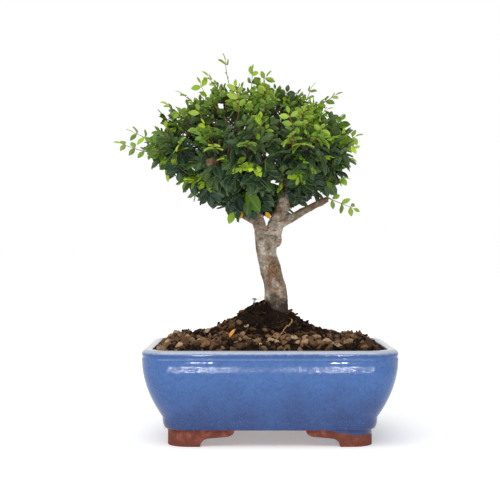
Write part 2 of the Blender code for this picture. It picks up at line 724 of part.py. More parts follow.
def wood_samples(wood):
    """Points along the axes of all the wood, a millimetre or two apart, and the radius at each."""
    points = []
    radii = []
    for line, widths, _ in wood:
        for k in range(len(line) - 1):
            steps = max(int((line[k + 1] - line[k]).length / SAMPLE_STEP), 1)
            for step in range(steps + 1):
                share = step / steps
                points.append(line[k].lerp(line[k + 1], share))
                radii.append(widths[k] + (widths[k + 1] - widths[k]) * share)
    return np.array(points), np.array(radii)


def stem_distances(points, starts, ends):
    """Distance of each point to each straight stem, as a table."""
    runs = ends - starts
    offsets = points[:, None, :] - starts[None, :, :]
    shares = np.clip((offsets * runs).sum(2) / (runs * runs).sum(1), 0, 1)
    return np.linalg.norm(offsets - shares[..., None] * runs, axis=2)


def leaf_samples(shape):
    """Points spread over the faces of a leaf."""
    points = np.array(shape[0])
    corners = points[np.array(shape[1])]
    spread_points = []
    for first in range(SAMPLES_PER_EDGE + 1):
        for second in range(SAMPLES_PER_EDGE + 1 - first):
            third = SAMPLES_PER_EDGE - first - second
            mixed = corners[:, 0] * first + corners[:, 1] * second + corners[:, 2] * third
            spread_points.append(mixed / SAMPLES_PER_EDGE)
    return np.concatenate(spread_points)


def is_clear(points, own, stems, wood_points, wood_radii):
    """Whether a leaf stays on its own side of every other stem, and off the wood."""
    table = stem_distances(points, *stems)
    mine = table[:, own].copy()
    table[:, own] = np.inf
    if (table.min(1) - mine).min() < LEAF_CLEARANCE:
        return False
    reach = np.linalg.norm(points[:, None, :] - wood_points[None, :, :], axis=2) - wood_radii
    return reach.min() > WOOD_CLEARANCE


def spray_leaves(own, stems, wood_points, wood_radii, draw):
    """The leaves of one shoot: opposite pairs and one at the tip, shortened until they are clear."""
    start = Vector(stems[0][own])
    end = Vector(stems[1][own])
    ahead = (end - start).normalized()
    upward = (Vector((0, 0, 1)) + (end - from_pot(CROWN_SIDE / MM, 0, CROWN_LEVEL / MM)).normalized() * 0.5)
    upward = (upward - ahead * upward.dot(ahead)).normalized()
    side = ahead.cross(upward)
    wishes = [(end, ahead)]
    for pair in range(LEAF_PAIRS):
        place = start.lerp(end, FIRST_PAIR + (LAST_PAIR - FIRST_PAIR) * pair / (LEAF_PAIRS - 1))
        turn = Matrix.Rotation(draw.uniform(-LEAF_TURN, LEAF_TURN), 3, ahead)
        for hand in (-1, 1):
            along = (ahead * LEAF_LEAN + turn @ side * hand).normalized()
            wishes.append((place + ahead * (LEAF_STAGGER * hand), along))
    leaves = []
    for place, along in wishes:
        tilt = Matrix.Rotation(draw.uniform(-LEAF_TILT, LEAF_TILT), 3, along)
        for share in LEAF_SHARES:
            shape = leaf(place - along * (SHOOT_RADIUS / 2), along, tilt @ upward, LEAF_LENGTH * share)
            if is_clear(leaf_samples(shape), own, stems, wood_points, wood_radii):
                leaves.append(shape)
                break
    return leaves


def make_sprays(sprays, wood, material):
    """Every leafy shoot: a green stem with its leaves, as one grown piece."""
    draw = random.Random(SEED + 1)
    feet = [foot + (tip - foot).normalized() * GAP for _, foot, tip in sprays]
    stems = (np.array(feet), np.array([tip for _, _, tip in sprays]))
    wood_points, wood_radii = wood_samples(wood)
    for own, (name, _, tip) in enumerate(sprays):
        radii = [SHOOT_RADIUS, SHOOT_RADIUS * SHOOT_TAPER]
        stem = tube([feet[own], tip], radii, TWIG_SIDES)
        leaves = spray_leaves(own, stems, wood_points, wood_radii, draw)
        add_object(name, union([stem] + leaves), material, 20.0)


def main():
    """Build the whole plant."""
    remove_old_objects()
    make_pot(make_material("glazed stoneware", (0.07, 0.15, 0.42), 0.2, 1.0))
    drain_plastic = make_material("drain mesh plastic", (0.02, 0.02, 0.02), 0.6)
    for name, middle in zip(("drain_mesh_left", "drain_mesh_right"), drain_positions()):
        make_drain_mesh(name, middle, drain_plastic)
    soil = make_soil(make_material("peat soil", (0.03, 0.018, 0.012), 0.95))
    make_pebbles(soil.data, make_material("gravel", (0.25, 0.16, 0.09), 0.9))
    make_fallen_leaf(soil.data, make_material("dry leaf", (0.6, 0.2, 0.03), 0.7))
    make_rootlet(soil.data, make_material("dry root", (0.45, 0.3, 0.16), 0.85))
    make_seedling(soil.data, make_material("weed", (0.15, 0.25, 0.12), 0.7))
    limbs = plan_limbs()
    sprays = plan_sprays(limbs)
    wood = limbs + plan_twigs(limbs, sprays)
    make_trunk(wood, make_material("bark", (0.25, 0.2, 0.15), 0.9))
    make_sprays(sprays, wood, make_material("leaves", (0.06, 0.2, 0.03), 0.45))


main()
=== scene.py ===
"""Bonsai tree in a glazed pot: the visual model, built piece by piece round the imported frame.

Metres, +Z up. The pot's length runs along X, and the front of the plant faces -Y.
Places in the tree are given in millimetres from the pot's middle, on the ground.
"""

import math
import random

import bmesh
import bpy
import numpy as np
from bpy.props import FloatProperty, FloatVectorProperty, IntProperty, PointerProperty
from mathutils import Matrix, Vector, noise
from mathutils.bvhtree import BVHTree
from mathutils.kdtree import KDTree


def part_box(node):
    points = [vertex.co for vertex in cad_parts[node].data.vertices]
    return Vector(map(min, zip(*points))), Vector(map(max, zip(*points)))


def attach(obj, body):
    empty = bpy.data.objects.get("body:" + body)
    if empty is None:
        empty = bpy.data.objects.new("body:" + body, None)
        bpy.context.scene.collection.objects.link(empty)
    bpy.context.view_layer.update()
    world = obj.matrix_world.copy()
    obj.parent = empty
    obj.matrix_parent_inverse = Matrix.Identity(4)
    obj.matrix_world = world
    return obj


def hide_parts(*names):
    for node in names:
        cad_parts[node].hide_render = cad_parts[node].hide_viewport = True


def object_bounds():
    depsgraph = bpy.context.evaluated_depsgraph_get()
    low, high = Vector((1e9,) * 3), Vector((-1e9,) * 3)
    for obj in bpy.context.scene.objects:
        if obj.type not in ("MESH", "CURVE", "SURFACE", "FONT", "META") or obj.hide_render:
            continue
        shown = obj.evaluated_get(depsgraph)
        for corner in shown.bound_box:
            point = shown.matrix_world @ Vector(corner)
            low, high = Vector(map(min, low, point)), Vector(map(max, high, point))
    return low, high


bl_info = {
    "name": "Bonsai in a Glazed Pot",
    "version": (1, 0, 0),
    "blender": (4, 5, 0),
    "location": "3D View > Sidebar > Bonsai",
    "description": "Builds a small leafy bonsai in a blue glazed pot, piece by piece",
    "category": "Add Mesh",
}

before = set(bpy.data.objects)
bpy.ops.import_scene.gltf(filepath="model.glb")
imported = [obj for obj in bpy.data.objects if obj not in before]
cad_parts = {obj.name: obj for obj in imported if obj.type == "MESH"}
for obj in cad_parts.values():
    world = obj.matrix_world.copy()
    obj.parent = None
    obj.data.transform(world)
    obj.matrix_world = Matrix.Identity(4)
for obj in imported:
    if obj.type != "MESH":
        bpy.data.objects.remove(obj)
CAD_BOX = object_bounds()

MM = 0.001
POT_LOW, POT_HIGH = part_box("pot")
MIDDLE_X = (POT_LOW.x + POT_HIGH.x) / 2
HALF_X = (POT_HIGH.x - POT_LOW.x) / 2
HALF_Y = (POT_HIGH.y - POT_LOW.y) / 2
RIM = POT_HIGH.z
UP = Vector((0, 0, 1))
NODES = sorted(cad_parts)
VIEW_DISTANCE = 942  # mm from the pot's middle to the camera
EYE_LEVEL = 153  # mm from the ground to the camera


def linear(hex_colour):
    """The linear red, green and blue of an sRGB hex colour."""
    values = []
    for start in (1, 3, 5):
        value = int(hex_colour[start:start + 2], 16) / 255
        values.append(value / 12.92 if value <= 0.04045 else ((value + 0.055) / 1.055) ** 2.4)
    return tuple(values)


def nodes_called(*starts):
    """The CAD nodes whose names start with one of some words."""
    return [node for node in NODES if node.startswith(starts)]


def middle_of(node):
    """The middle of a CAD node's box."""
    low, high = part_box(node)
    return (low + high) / 2


def from_pot(x, y, z):
    """A point given in millimetres from the pot's middle, on the ground, in metres."""
    return Vector((MIDDLE_X + x * MM, y * MM, z * MM))


# ---------------------------------------------------------------- settings
def length_setting(name, description, default):
    """A length that a user can change."""
    return FloatProperty(name=name, description=description, default=default, min=0, unit="LENGTH",
                         precision=4)


def colour_setting(name, description, default):
    """A colour that a user can change, from an sRGB hex value."""
    return FloatVectorProperty(name=name, description=description, subtype="COLOR", size=3, min=0,
                               max=1, default=linear(default))


class PotSettings(bpy.types.PropertyGroup):
    """Sizes and colours of the pot."""
    foot_height: length_setting("Foot Height", "Height of the cloud feet", 13 * MM)
    band_height: length_setting("Band Height", "Height of the band above the feet", 9 * MM)
    wall: length_setting("Wall", "Thickness of the wall", 8 * MM)
    draw_in: length_setting("Draw-in", "How far the wall draws in towards the band", 15.2 * MM)
    corner: length_setting("Corner Radius", "Radius of the four corners at the rim", 24 * MM)
    glaze_high: colour_setting("Upper Glaze", "Glaze below the rim", "#3a64a2")
    glaze_low: colour_setting("Lower Glaze", "Glaze above the feet", "#17336a")
    # The pale rim is partly glaze running thin and partly a painted reflection of the white surroundings
    thin_glaze_and_reflection: colour_setting("Thin Glaze", "Glaze where it runs thin, on the rim and ridges", "#b4b9c2")
    clay: colour_setting("Clay", "Unglazed clay of the feet", "#71321f")


class SoilSettings(bpy.types.PropertyGroup):
    """What the pot is filled with."""
    crumbs: IntProperty(name="Crumbs", description="Peat crumbs on the surface", default=3000, min=0)
    chips: IntProperty(name="Chips", description="Bark chips and fibres in the peat", default=620, min=0)
    scattered: IntProperty(name="Scattered Crumbs", description="Peat crumbs strewn over the gravel",
                           default=1700, min=0)
    stones: IntProperty(name="Stones", description="Pieces of gravel round the edge", default=430, min=1)
    stone_size: length_setting("Stone Size", "Middle size of the gravel", 6.6 * MM)
    peat: colour_setting("Peat", "Damp peat", "#1c120b")
    stone: colour_setting("Stone", "Fired clay gravel", "#846648")


class WoodSettings(bpy.types.PropertyGroup):
    """The trunk, the limbs and the twigs."""
    voxel: length_setting("Detail", "Size of the cells that the grown surface is made of", 0.75 * MM)
    lumps: length_setting("Lumps", "Depth of the broad swellings", 1.6 * MM)
    flakes: length_setting("Flakes", "Depth of the bark's flakes", 0.8 * MM)
    bark: colour_setting("Bark", "Smooth grey bark", "#b3a898")
    old_bark: colour_setting("Old Bark", "Weathered bark between the plates", "#665645")


class FoliageSettings(bpy.types.PropertyGroup):
    """The leaves and the shoots that carry them."""
    outer_spacing: length_setting("Outer Spacing", "Between shoot tips on the crown's outside", 8.6 * MM)
    inner_spacing: length_setting("Inner Spacing", "Between shoot tips inside the crown", 11.5 * MM)
    young_leaf: length_setting("Young Leaf", "Length of a leaf at the top of the crown", 6.8 * MM)
    old_leaf: length_setting("Old Leaf", "Length of a leaf at the foot of the crown", 13 * MM)
    young: colour_setting("Young Leaf", "New leaves at the shoot tips", "#afc832")
    fresh: colour_setting("Fresh Leaf", "Leaves of this season", "#6f981c")
    # The mature and old colours, given to leaves inside and low in the crown, are partly painted shade
    mature: colour_setting("Mature Leaf", "Leaves inside the crown", "#364e10")
    old: colour_setting("Old Leaf", "Thick leaves low in the crown", "#304638")
    fading: colour_setting("Fading Leaf", "Leaves that are about to fall", "#e8a818")


class StageSettings(bpy.types.PropertyGroup):
    """The camera and the lights."""
    lens: FloatProperty(name="Lens", description="Focal length on a 36 mm sensor", default=82.3,
                        min=1, subtype="DISTANCE_CAMERA")
    distance: length_setting("Distance", "Of the camera from the pot's middle",
                            VIEW_DISTANCE * MM)
    eye_level: length_setting("Eye Level", "Height of the camera", EYE_LEVEL * MM)
    top_light: FloatProperty(name="Top Light", description="Strength of the soft light from above",
                             default=1.9, min=0)
    strip_power: FloatProperty(name="Strip Lights", description="Power of each strip light in front",
                               default=0.85, min=0, unit="POWER")
    sky: FloatProperty(name="Sky", description="Light from the white surroundings", default=0.36, min=0)


# ---------------------------------------------------------------- materials
# A pattern's Scale is a thousand over its size in millimetres: 320 makes cells about 3 mm wide

# A Mix node in colour mode: its sockets by number, because three of its kinds share their names
FACTOR, FIRST, SECOND, RESULT = 0, 6, 7, 2

# The output that is used of each kind of node, where it isn't the first
USED_OUTPUTS = {"Mix": RESULT, "TexCoord": "Object", "Attribute": "Fac", "VectorMath": "Value"}


def set_inputs(tree, node, inputs):
    """Set a node's inputs. A value is another node's output to link, a colour, or a plain value."""
    for name, value in inputs.items():
        socket = node.inputs[name]
        if isinstance(value, bpy.types.NodeSocket):
            tree.links.new(value, socket)
        elif socket.type == "RGBA":
            socket.default_value = (*value, 1)
        else:
            socket.default_value = value


def add_node(tree, kind, inputs, stops=(), **settings):
    """Add a node with its settings, inputs and ramp stops, and give back the output that is used."""
    node = tree.nodes.new("ShaderNode" + kind)
    for name, value in settings.items():
        setattr(node, name, value)
    set_inputs(tree, node, inputs)
    for number, (place, colour) in enumerate(stops):
        elements = node.color_ramp.elements
        element = elements[number] if number < 2 else elements.new(place)
        element.position = place
        element.color = (*colour, 1)
    return node.outputs[USED_OUTPUTS.get(kind, 0)]


def grey(value):
    """A grey level as a colour, for ramps that carry a number."""
    return (value, value, value)


def new_material(name):
    """An empty Principled material: its tree, its shader and its Object coordinates."""
    material = bpy.data.materials.new(name)
    material.use_nodes = True
    tree = material.node_tree
    shader = tree.nodes["Principled BSDF"]
    place = add_node(tree, "TexCoord", {})
    return material, tree, shader, place


def glazed_stoneware(pot):
    """Stoneware under a thick glossy blue glaze, unglazed red clay on the feet.

    The glaze is darker towards the feet and pale on the rim, where it runs thin and carries a painted
    reflection; a line of painted shade runs under the lip. It gives sharp, slightly wavy highlights.
    """
    material, tree, shader, place = new_material("blue_glaze_on_stoneware")
    axes = add_node(tree, "SeparateXYZ", {0: place}).node.outputs

    # Clouds of 22 mm, mottling of 3 mm and flecks of 1 mm in the glaze, darker towards the feet
    clouds = add_node(tree, "TexNoise", {"Vector": place, "Scale": 45, "Detail": 3})
    mottle = add_node(tree, "TexNoise", {"Vector": place, "Scale": 320, "Detail": 4, "Roughness": 0.6})
    speckle = add_node(tree, "TexNoise", {"Vector": place, "Scale": 1100, "Detail": 1})
    height = add_node(tree, "MapRange", {"Value": axes["Z"], "From Min": pot.foot_height, "From Max": RIM})
    wash = add_node(tree, "Math", {0: clouds, 1: 0.7}, operation="MULTIPLY")
    wash = add_node(tree, "Math", {0: wash, 1: height}, operation="ADD")
    body = add_node(tree, "ValToRGB", {"Fac": wash}, ((0.25, pot.glaze_low), (1.0, pot.glaze_high)))
    pools = add_node(tree, "ValToRGB", {"Fac": mottle}, ((0.3, linear("#cdd4e2")), (0.55, grey(1.0))))
    body = add_node(tree, "Mix", {FACTOR: 0.75, FIRST: body, SECOND: pools}, data_type="RGBA",
                    blend_type="MULTIPLY")
    flecks = add_node(tree, "ValToRGB", {"Fac": speckle}, ((0.6, grey(0.0)), (0.72, grey(0.2))))
    body = add_node(tree, "Mix", {FACTOR: flecks, FIRST: body, SECOND: linear("#7d99cc")},
                    data_type="RGBA")

    # Thin, pale glaze over the rim, broken by the mottling: partly the glaze running thin, partly a painted
    # reflection; and a dark line of painted shade under the lip
    uneven = add_node(tree, "Math", {0: mottle, 1: 1.6 * MM, 2: axes["Z"]}, operation="MULTIPLY_ADD")
    share = add_node(tree, "MapRange", {"Value": uneven, "From Min": RIM - 5 * MM,
                                        "From Max": RIM + 1 * MM})
    rim_thin_glaze_and_reflection = add_node(tree, "ValToRGB", {"Fac": share}, ((0.45, grey(0.0)), (0.75, grey(0.85))))
    # A dark line of painted shade under the lip
    shade_under_lip = add_node(tree, "ValToRGB", {"Fac": share}, (
        (0.1, grey(0.0)), (0.3, grey(0.55)), (0.45, grey(0.0))))
    body = add_node(tree, "Mix", {FACTOR: shade_under_lip, FIRST: body, SECOND: linear("#26386f")},
                    data_type="RGBA")
    # Pale rim: partly thin glaze, partly a painted reflection
    body = add_node(tree, "Mix", {FACTOR: rim_thin_glaze_and_reflection, FIRST: body, SECOND: pot.thin_glaze_and_reflection}, data_type="RGBA")

    # Where the glaze stops: just above the feet, and lower on the right, where it ran
    run = add_node(tree, "MapRange", {"Value": axes["X"], "From Min": MIDDLE_X + 38 * MM,
                                      "From Max": MIDDLE_X + 72 * MM, "To Max": 4.5 * MM},
                   interpolation_type="SMOOTHSTEP")
    drips = add_node(tree, "TexNoise", {"Vector": place, "Scale": 70, "Detail": 2})
    edge = add_node(tree, "Math", {0: drips, 1: 3.0 * MM, 2: run}, operation="MULTIPLY_ADD")
    level = add_node(tree, "Math", {0: axes["Z"], 1: edge}, operation="ADD")
    glazed = add_node(tree, "MapRange", {"Value": level, "From Min": pot.foot_height + 1.6 * MM,
                                         "From Max": pot.foot_height + 1.9 * MM})
    clay_tone = add_node(tree, "TexNoise", {"Vector": place, "Scale": 160, "Detail": 6,
                                            "Roughness": 0.7})
    clay = add_node(tree, "ValToRGB", {"Fac": clay_tone}, (
        (0.3, linear("#4c251b")), (0.52, pot.clay), (0.74, linear("#98604a"))))
    colour = add_node(tree, "Mix", {FACTOR: glazed, FIRST: clay, SECOND: body}, data_type="RGBA")
    roughness = add_node(tree, "MapRange", {"Value": glazed, "To Min": 0.8, "To Max": 0.06})

    # A faint throwing ridge near the top of the wall, which catches the lights in front
    ridge = add_node(tree, "Math", {0: axes["Z"], 1: RIM - 14 * MM}, operation="SUBTRACT")
    ridge = add_node(tree, "Math", {0: mottle, 1: 1.2 * MM, 2: ridge}, operation="MULTIPLY_ADD")
    ridge = add_node(tree, "MapRange", {"Value": ridge, "From Min": -4 * MM, "From Max": 4 * MM},
                     interpolation_type="SMOOTHSTEP")
    ridge = add_node(tree, "Bump", {"Strength": 1.0, "Distance": 1.35 * MM, "Height": ridge}, invert=True)
    waves = add_node(tree, "Bump", {"Strength": 0.35, "Distance": 1.2 * MM, "Height": clouds,
                                    "Normal": ridge})
    pits = add_node(tree, "Bump", {"Strength": 0.12, "Distance": 0.2 * MM, "Height": mottle,
                                   "Normal": waves})
    set_inputs(tree, shader, {"Base Color": colour, "Roughness": roughness, "IOR": 1.52, "Normal": pits})
    return material


def drain_mesh_plastic():
    """Moulded black polyethylene mesh, dull, with a fine dust of soil on it."""
    material, tree, shader, place = new_material("moulded_black_polyethylene")
    dust = add_node(tree, "TexNoise", {"Vector": place, "Scale": 500, "Detail": 3})
    colour = add_node(tree, "ValToRGB", {"Fac": dust}, (
        (0.4, linear("#161616")), (0.75, linear("#3a2e24"))))
    grain = add_node(tree, "Bump", {"Strength": 0.2, "Distance": 0.1 * MM, "Height": dust})
    set_inputs(tree, shader, {"Base Color": colour, "Roughness": 0.55, "Normal": grain})
    return material


def crumbly(name, scale, detail, share, stops, roughness, sheen, strength):
    """Dull broken matter whose pieces differ: grains on each piece, added to the piece's own tone."""
    material, tree, shader, place = new_material(name)
    grains = add_node(tree, "TexNoise", {"Vector": place, "Scale": scale, "Detail": detail,
                                         "Roughness": 0.7})
    tone = add_node(tree, "Attribute", {}, attribute_name="tone")
    mixed = add_node(tree, "Math", {0: grains, 1: share, 2: tone}, operation="MULTIPLY_ADD")
    colour = add_node(tree, "ValToRGB", {"Fac": mixed}, stops)
    pits = add_node(tree, "Bump", {"Strength": strength, "Distance": 0.5 * MM, "Height": grains})
    set_inputs(tree, shader, {"Base Color": colour, "Roughness": roughness,
                              "Specular IOR Level": sheen, "Normal": pits})
    return material


def damp_peat(soil):
    """Damp sphagnum peat, grains of 1.4 mm: almost black, matt, with lighter fibres."""
    stops = ((0.2, linear("#0b0704")), (0.42, soil.peat), (0.66, linear("#3a281b")),
             (1.0, linear("#6b4c32")))
    return crumbly("damp_sphagnum_peat", 700, 5, 0.6, stops, 0.9, 0.12, 0.6)


def fired_clay_gravel(soil):
    """Broken fired clay and bark gravel, pits of 2.4 mm: dusty tan to brown, matt."""
    stops = ((0.25, linear("#2c1f15")), (0.5, linear("#604631")), (0.78, soil.stone),
             (1.0, linear("#c2a683")))
    return crumbly("broken_fired_clay_gravel", 420, 6, 0.55, stops, 0.85, 0.2, 0.5)


SCAR_MIDDLE = (5, -9, 136)  # in mm from the pot's middle, on the ground


def smooth_bark(wood):
    """Smooth grey bark with flaking plates, rust-coloured lenticels and a dark damp foot."""
    material, tree, shader, place = new_material("smooth_grey_bark")
    axes = add_node(tree, "SeparateXYZ", {0: place}).node.outputs

    # Plates of 9 mm and a grain of 1.5 mm
    plates = add_node(tree, "TexNoise", {"Vector": place, "Scale": 110, "Detail": 5, "Roughness": 0.6})
    grain = add_node(tree, "TexNoise", {"Vector": place, "Scale": 650, "Detail": 5, "Roughness": 0.7})
    colour = add_node(tree, "ValToRGB", {"Fac": plates}, (
        (0.36, wood.old_bark), (0.46, linear("#93826f")), (0.55, wood.bark), (0.63, linear("#d2ccc0"))))
    fine = add_node(tree, "ValToRGB", {"Fac": grain}, ((0.35, linear("#a89a8a")), (0.6, grey(1.0))))
    colour = add_node(tree, "Mix", {FACTOR: 0.8, FIRST: colour, SECOND: fine}, data_type="RGBA",
                      blend_type="MULTIPLY")

    # Lenticels: short level dashes about 2.5 mm wide and 0.8 mm high, some 8 mm apart
    flat = add_node(tree, "Mapping", {"Vector": place, "Scale": (1.0, 1.0, 2.6)})
    cells = add_node(tree, "TexVoronoi", {"Vector": flat, "Scale": 125, "Randomness": 1.0})
    dashes = add_node(tree, "ValToRGB", {"Fac": cells}, ((0.2, grey(0.9)), (0.27, grey(0.0))))
    colour = add_node(tree, "Mix", {FACTOR: dashes, FIRST: colour, SECOND: linear("#a9592e")},
                      data_type="RGBA")

    # A flaky brown scar half way up the trunk
    middle = add_node(tree, "Mapping", {"Vector": place, "Location": -from_pot(*SCAR_MIDDLE)},
                      vector_type="POINT")
    reach = add_node(tree, "VectorMath", {0: middle}, operation="LENGTH")
    ragged = add_node(tree, "Math", {0: grain, 1: 10 * MM, 2: reach}, operation="MULTIPLY_ADD")
    scar = add_node(tree, "MapRange", {"Value": ragged, "From Min": 10 * MM, "From Max": 13.5 * MM,
                                       "To Min": 0.85, "To Max": 0.0})
    scar_tone = add_node(tree, "ValToRGB", {"Fac": grain}, (
        (0.4, linear("#4a3423")), (0.52, linear("#7d5c3c")), (0.66, linear("#a98d68"))))
    colour = add_node(tree, "Mix", {FACTOR: scar, FIRST: colour, SECOND: scar_tone}, data_type="RGBA")

    # Browner in the crown and along the low right branch, and dark with soil at the foot
    brown = add_node(tree, "MapRange", {"Value": axes["Z"], "From Min": 186 * MM,
                                        "From Max": 214 * MM, "To Max": 0.75})
    branch = add_node(tree, "MapRange", {"Value": axes["X"], "From Min": MIDDLE_X + 14 * MM,
                                         "From Max": MIDDLE_X + 30 * MM, "To Max": 0.7})
    brown = add_node(tree, "Math", {0: brown, 1: branch}, operation="MAXIMUM")
    colour = add_node(tree, "Mix", {FACTOR: brown, FIRST: colour, SECOND: linear("#6b533e")},
                      data_type="RGBA")
    damp = add_node(tree, "Math", {0: plates, 1: 22 * MM, 2: axes["Z"]}, operation="MULTIPLY_ADD")
    soiled = add_node(tree, "MapRange", {"Value": damp, "From Min": 120 * MM, "From Max": 128 * MM,
                                         "To Min": 0.92, "To Max": 0.0})
    colour = add_node(tree, "Mix", {FACTOR: soiled, FIRST: colour, SECOND: linear("#2e2318")},
                      data_type="RGBA")
    ridges = add_node(tree, "Bump", {"Strength": 0.5, "Distance": 0.5 * MM, "Height": grain})
    raised = add_node(tree, "Bump", {"Strength": 0.6, "Distance": 0.4 * MM, "Height": dashes,
                                     "Normal": ridges})
    set_inputs(tree, shader, {"Base Color": colour, "Roughness": 0.75, "Specular IOR Level": 0.3,
                              "Normal": raised})
    return material


OLDEST_GREEN = 0.93  # the age of the oldest green leaf: from there to 1 it fades


def leaf_skin(foliage):
    """Waxy leaf skin: yellow-green and thin when young, blue-green, thick and glossy when old."""
    material, tree, shader, _ = new_material("waxy_leaf_skin")
    age = add_node(tree, "Attribute", {}, attribute_name="age")
    tone = add_node(tree, "Attribute", {}, attribute_name="tone")
    across = add_node(tree, "Attribute", {}, attribute_name="across")
    under = add_node(tree, "Attribute", {}, attribute_name="under")
    # Leaves inside and low in the crown get the older, darker colours: partly their age, partly painted
    # shade
    body = add_node(tree, "ValToRGB", {"Fac": age}, (
        (0.0, foliage.young), (1.0, foliage.fading), (0.28, foliage.fresh), (0.58, foliage.mature),
        (OLDEST_GREEN, foliage.old)))
    shade = add_node(tree, "MapRange", {"Value": tone, "To Min": 0.75, "To Max": 1.35})
    colour = add_node(tree, "HueSaturation", {"Color": body, "Value": shade})

    # A paler rib along the middle and a paler underside, and a painted highlight along the edge
    rib = add_node(tree, "MapRange", {"Value": across, "From Max": 0.2, "To Min": 0.14, "To Max": 0.0})
    # A painted highlight along the leaf's edge
    edge = add_node(tree, "MapRange", {"Value": across, "From Min": 0.9, "To Max": 0.22})
    below = add_node(tree, "Math", {0: under, 1: 0.3}, operation="MULTIPLY")
    for share, paler in ((rib, "#b9cf8a"), (edge, "#a9c98a"), (below, "#7f9a62")):
        colour = add_node(tree, "Mix", {FACTOR: share, FIRST: colour, SECOND: linear(paler)},
                          data_type="RGBA")
    set_inputs(tree, shader, {"Base Color": colour, "Roughness": 0.38, "Specular IOR Level": 0.18})
    return material


def shoot_bark(name):
    """Thin bark of shoots and twigs: rust-red when young, grey-brown when old, streaks of 1 mm."""
    material, tree, shader, place = new_material(name)
    age = add_node(tree, "Attribute", {}, attribute_name="age")
    streaks = add_node(tree, "TexNoise", {"Vector": place, "Scale": 900, "Detail": 2})
    colour = add_node(tree, "ValToRGB", {"Fac": age}, (
        (0.0, linear("#94623a")), (1.0, linear("#4f4032")), (0.45, linear("#7a4b30"))))
    fine = add_node(tree, "ValToRGB", {"Fac": streaks}, ((0.35, grey(0.55)), (0.65, grey(1.15))))
    colour = add_node(tree, "Mix", {FACTOR: 1.0, FIRST: colour, SECOND: fine}, data_type="RGBA",
                      blend_type="MULTIPLY")
    set_inputs(tree, shader, {"Base Color": colour, "Roughness": 0.7})
    return material


def two_tone(name, scale, detail, low, high, inputs):
    """A plain surface whose colour drifts between two tones."""
    material, tree, shader, place = new_material(name)
    patches = add_node(tree, "TexNoise", {"Vector": place, "Scale": scale, "Detail": detail})
    colour = add_node(tree, "ValToRGB", {"Fac": patches}, (low, high))
    set_inputs(tree, shader, {"Base Color": colour, **inputs})
    return material


def dry_litter(name, dark, light, roughness):
    """Dead or delicate plant matter with patches of 2.6 mm in two tones."""
    return two_tone(name, 380, 4, (0.35, linear(dark)), (0.62, linear(light)), {"Roughness": roughness})


def opal_acrylic():
    """The opal acrylic sheet of a light table, lit from below."""
    inputs = {"Roughness": 0.9, "Emission Color": grey(1), "Emission Strength": 0.3}
    return two_tone("opal_acrylic_lit_from_below", 300, 2, (0.3, grey(0.93)), (0.7, grey(0.96)), inputs)


# ---------------------------------------------------------------- modelling by hand
def select_only(piece):
    """Make a piece the only selected one, and the active one."""
    bpy.ops.object.select_all(action="DESELECT")
    piece.select_set(True)
    bpy.context.view_layer.objects.active = piece


def add_primitive(kind, name, **settings):
    """Add one of the mesh primitives with nothing else selected."""
    bpy.ops.object.select_all(action="DESELECT")
    getattr(bpy.ops.mesh, f"primitive_{kind}_add")(**settings)
    piece = bpy.context.object
    piece.name = name
    return piece


def edit(piece):
    """Go into edit mode on one piece, with all of it selected."""
    select_only(piece)
    bpy.ops.object.mode_set(mode="EDIT")
    bpy.ops.mesh.select_all(action="SELECT")


def leave_edit():
    """Go back to object mode."""
    bpy.ops.object.mode_set(mode="OBJECT")


def pick(piece, kind, test):
    """In edit mode, select only the points, edges or faces that pass a test."""
    bpy.ops.mesh.select_mode(type={"verts": "VERT", "edges": "EDGE", "faces": "FACE"}[kind])
    bpy.ops.mesh.select_all(action="DESELECT")
    shape = bmesh.from_edit_mesh(piece.data)
    for item in getattr(shape, kind):
        if test(item):
            item.select_set(True)
    shape.select_flush_mode()
    bmesh.update_edit_mesh(piece.data)


def apply_modifier(piece, kind, **settings):
    """Put a modifier on a piece and apply it."""
    modifier = piece.modifiers.new(kind.title(), kind)
    for name, value in settings.items():
        setattr(modifier, name, value)
    select_only(piece)
    bpy.ops.object.modifier_apply(modifier=modifier.name)


def cut_out(piece, cutter):
    """Take a cutter's shape out of a piece."""
    apply_modifier(piece, "BOOLEAN", operation="DIFFERENCE", solver="EXACT", object=cutter)
    bpy.data.objects.remove(cutter, do_unlink=True)


def join(pieces, name):
    """Join pieces into the first of them."""
    select_only(pieces[0])
    for piece in pieces[1:]:
        piece.select_set(True)
    bpy.ops.object.join()
    pieces[0].name = name
    return pieces[0]


def hand_over(piece, crease, materials, nodes=()):
    """Shade a finished piece smoothly up to an angle, and give it its materials and its frame place."""
    select_only(piece)
    bpy.ops.object.shade_smooth_by_angle(angle=math.radians(crease))
    bpy.ops.object.transform_apply(location=True, rotation=True, scale=True)
    for material in materials:
        piece.data.materials.append(material)
    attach(piece, "root")
    if nodes:
        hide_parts(*nodes)
    return piece


def copy_node(node, name):
    """A CAD node's shape as a new piece, with its loose triangles merged."""
    piece = bpy.data.objects.new(name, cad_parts[node].data.copy())
    bpy.context.scene.collection.objects.link(piece)
    piece.data.materials.clear()
    edit(piece)
    bpy.ops.mesh.remove_doubles(threshold=0.001 * MM)
    leave_edit()
    return piece


def cloud_texture(name, size, depth=2):
    """A cloud pattern for a Displace modifier."""
    texture = bpy.data.textures.new(name, "CLOUDS")
    texture.noise_scale = size
    texture.noise_depth = depth
    return texture


def spread(start, end, count):
    """Evenly spaced values from start to end, both included."""
    return [start + (end - start) * k / (count - 1) for k in range(count)]


# ---------------------------------------------------------------- shapes that are repeated
class Shape:
    """A modelled shape as arrays, with values for its points, ready to be copied many times."""

    def __init__(self, piece, **values):
        mesh = piece.data
        self.points = np.empty(len(mesh.vertices) * 3)
        mesh.vertices.foreach_get("co", self.points)
        self.points = self.points.reshape(-1, 3)
        self.corners = np.empty(len(mesh.loops), dtype=np.int64)
        mesh.loops.foreach_get("vertex_index", self.corners)
        self.sizes = np.empty(len(mesh.polygons), dtype=np.int64)
        mesh.polygons.foreach_get("loop_total", self.sizes)
        self.values = {name: rule(self.points) for name, rule in values.items()}
        bpy.data.objects.remove(piece, do_unlink=True)


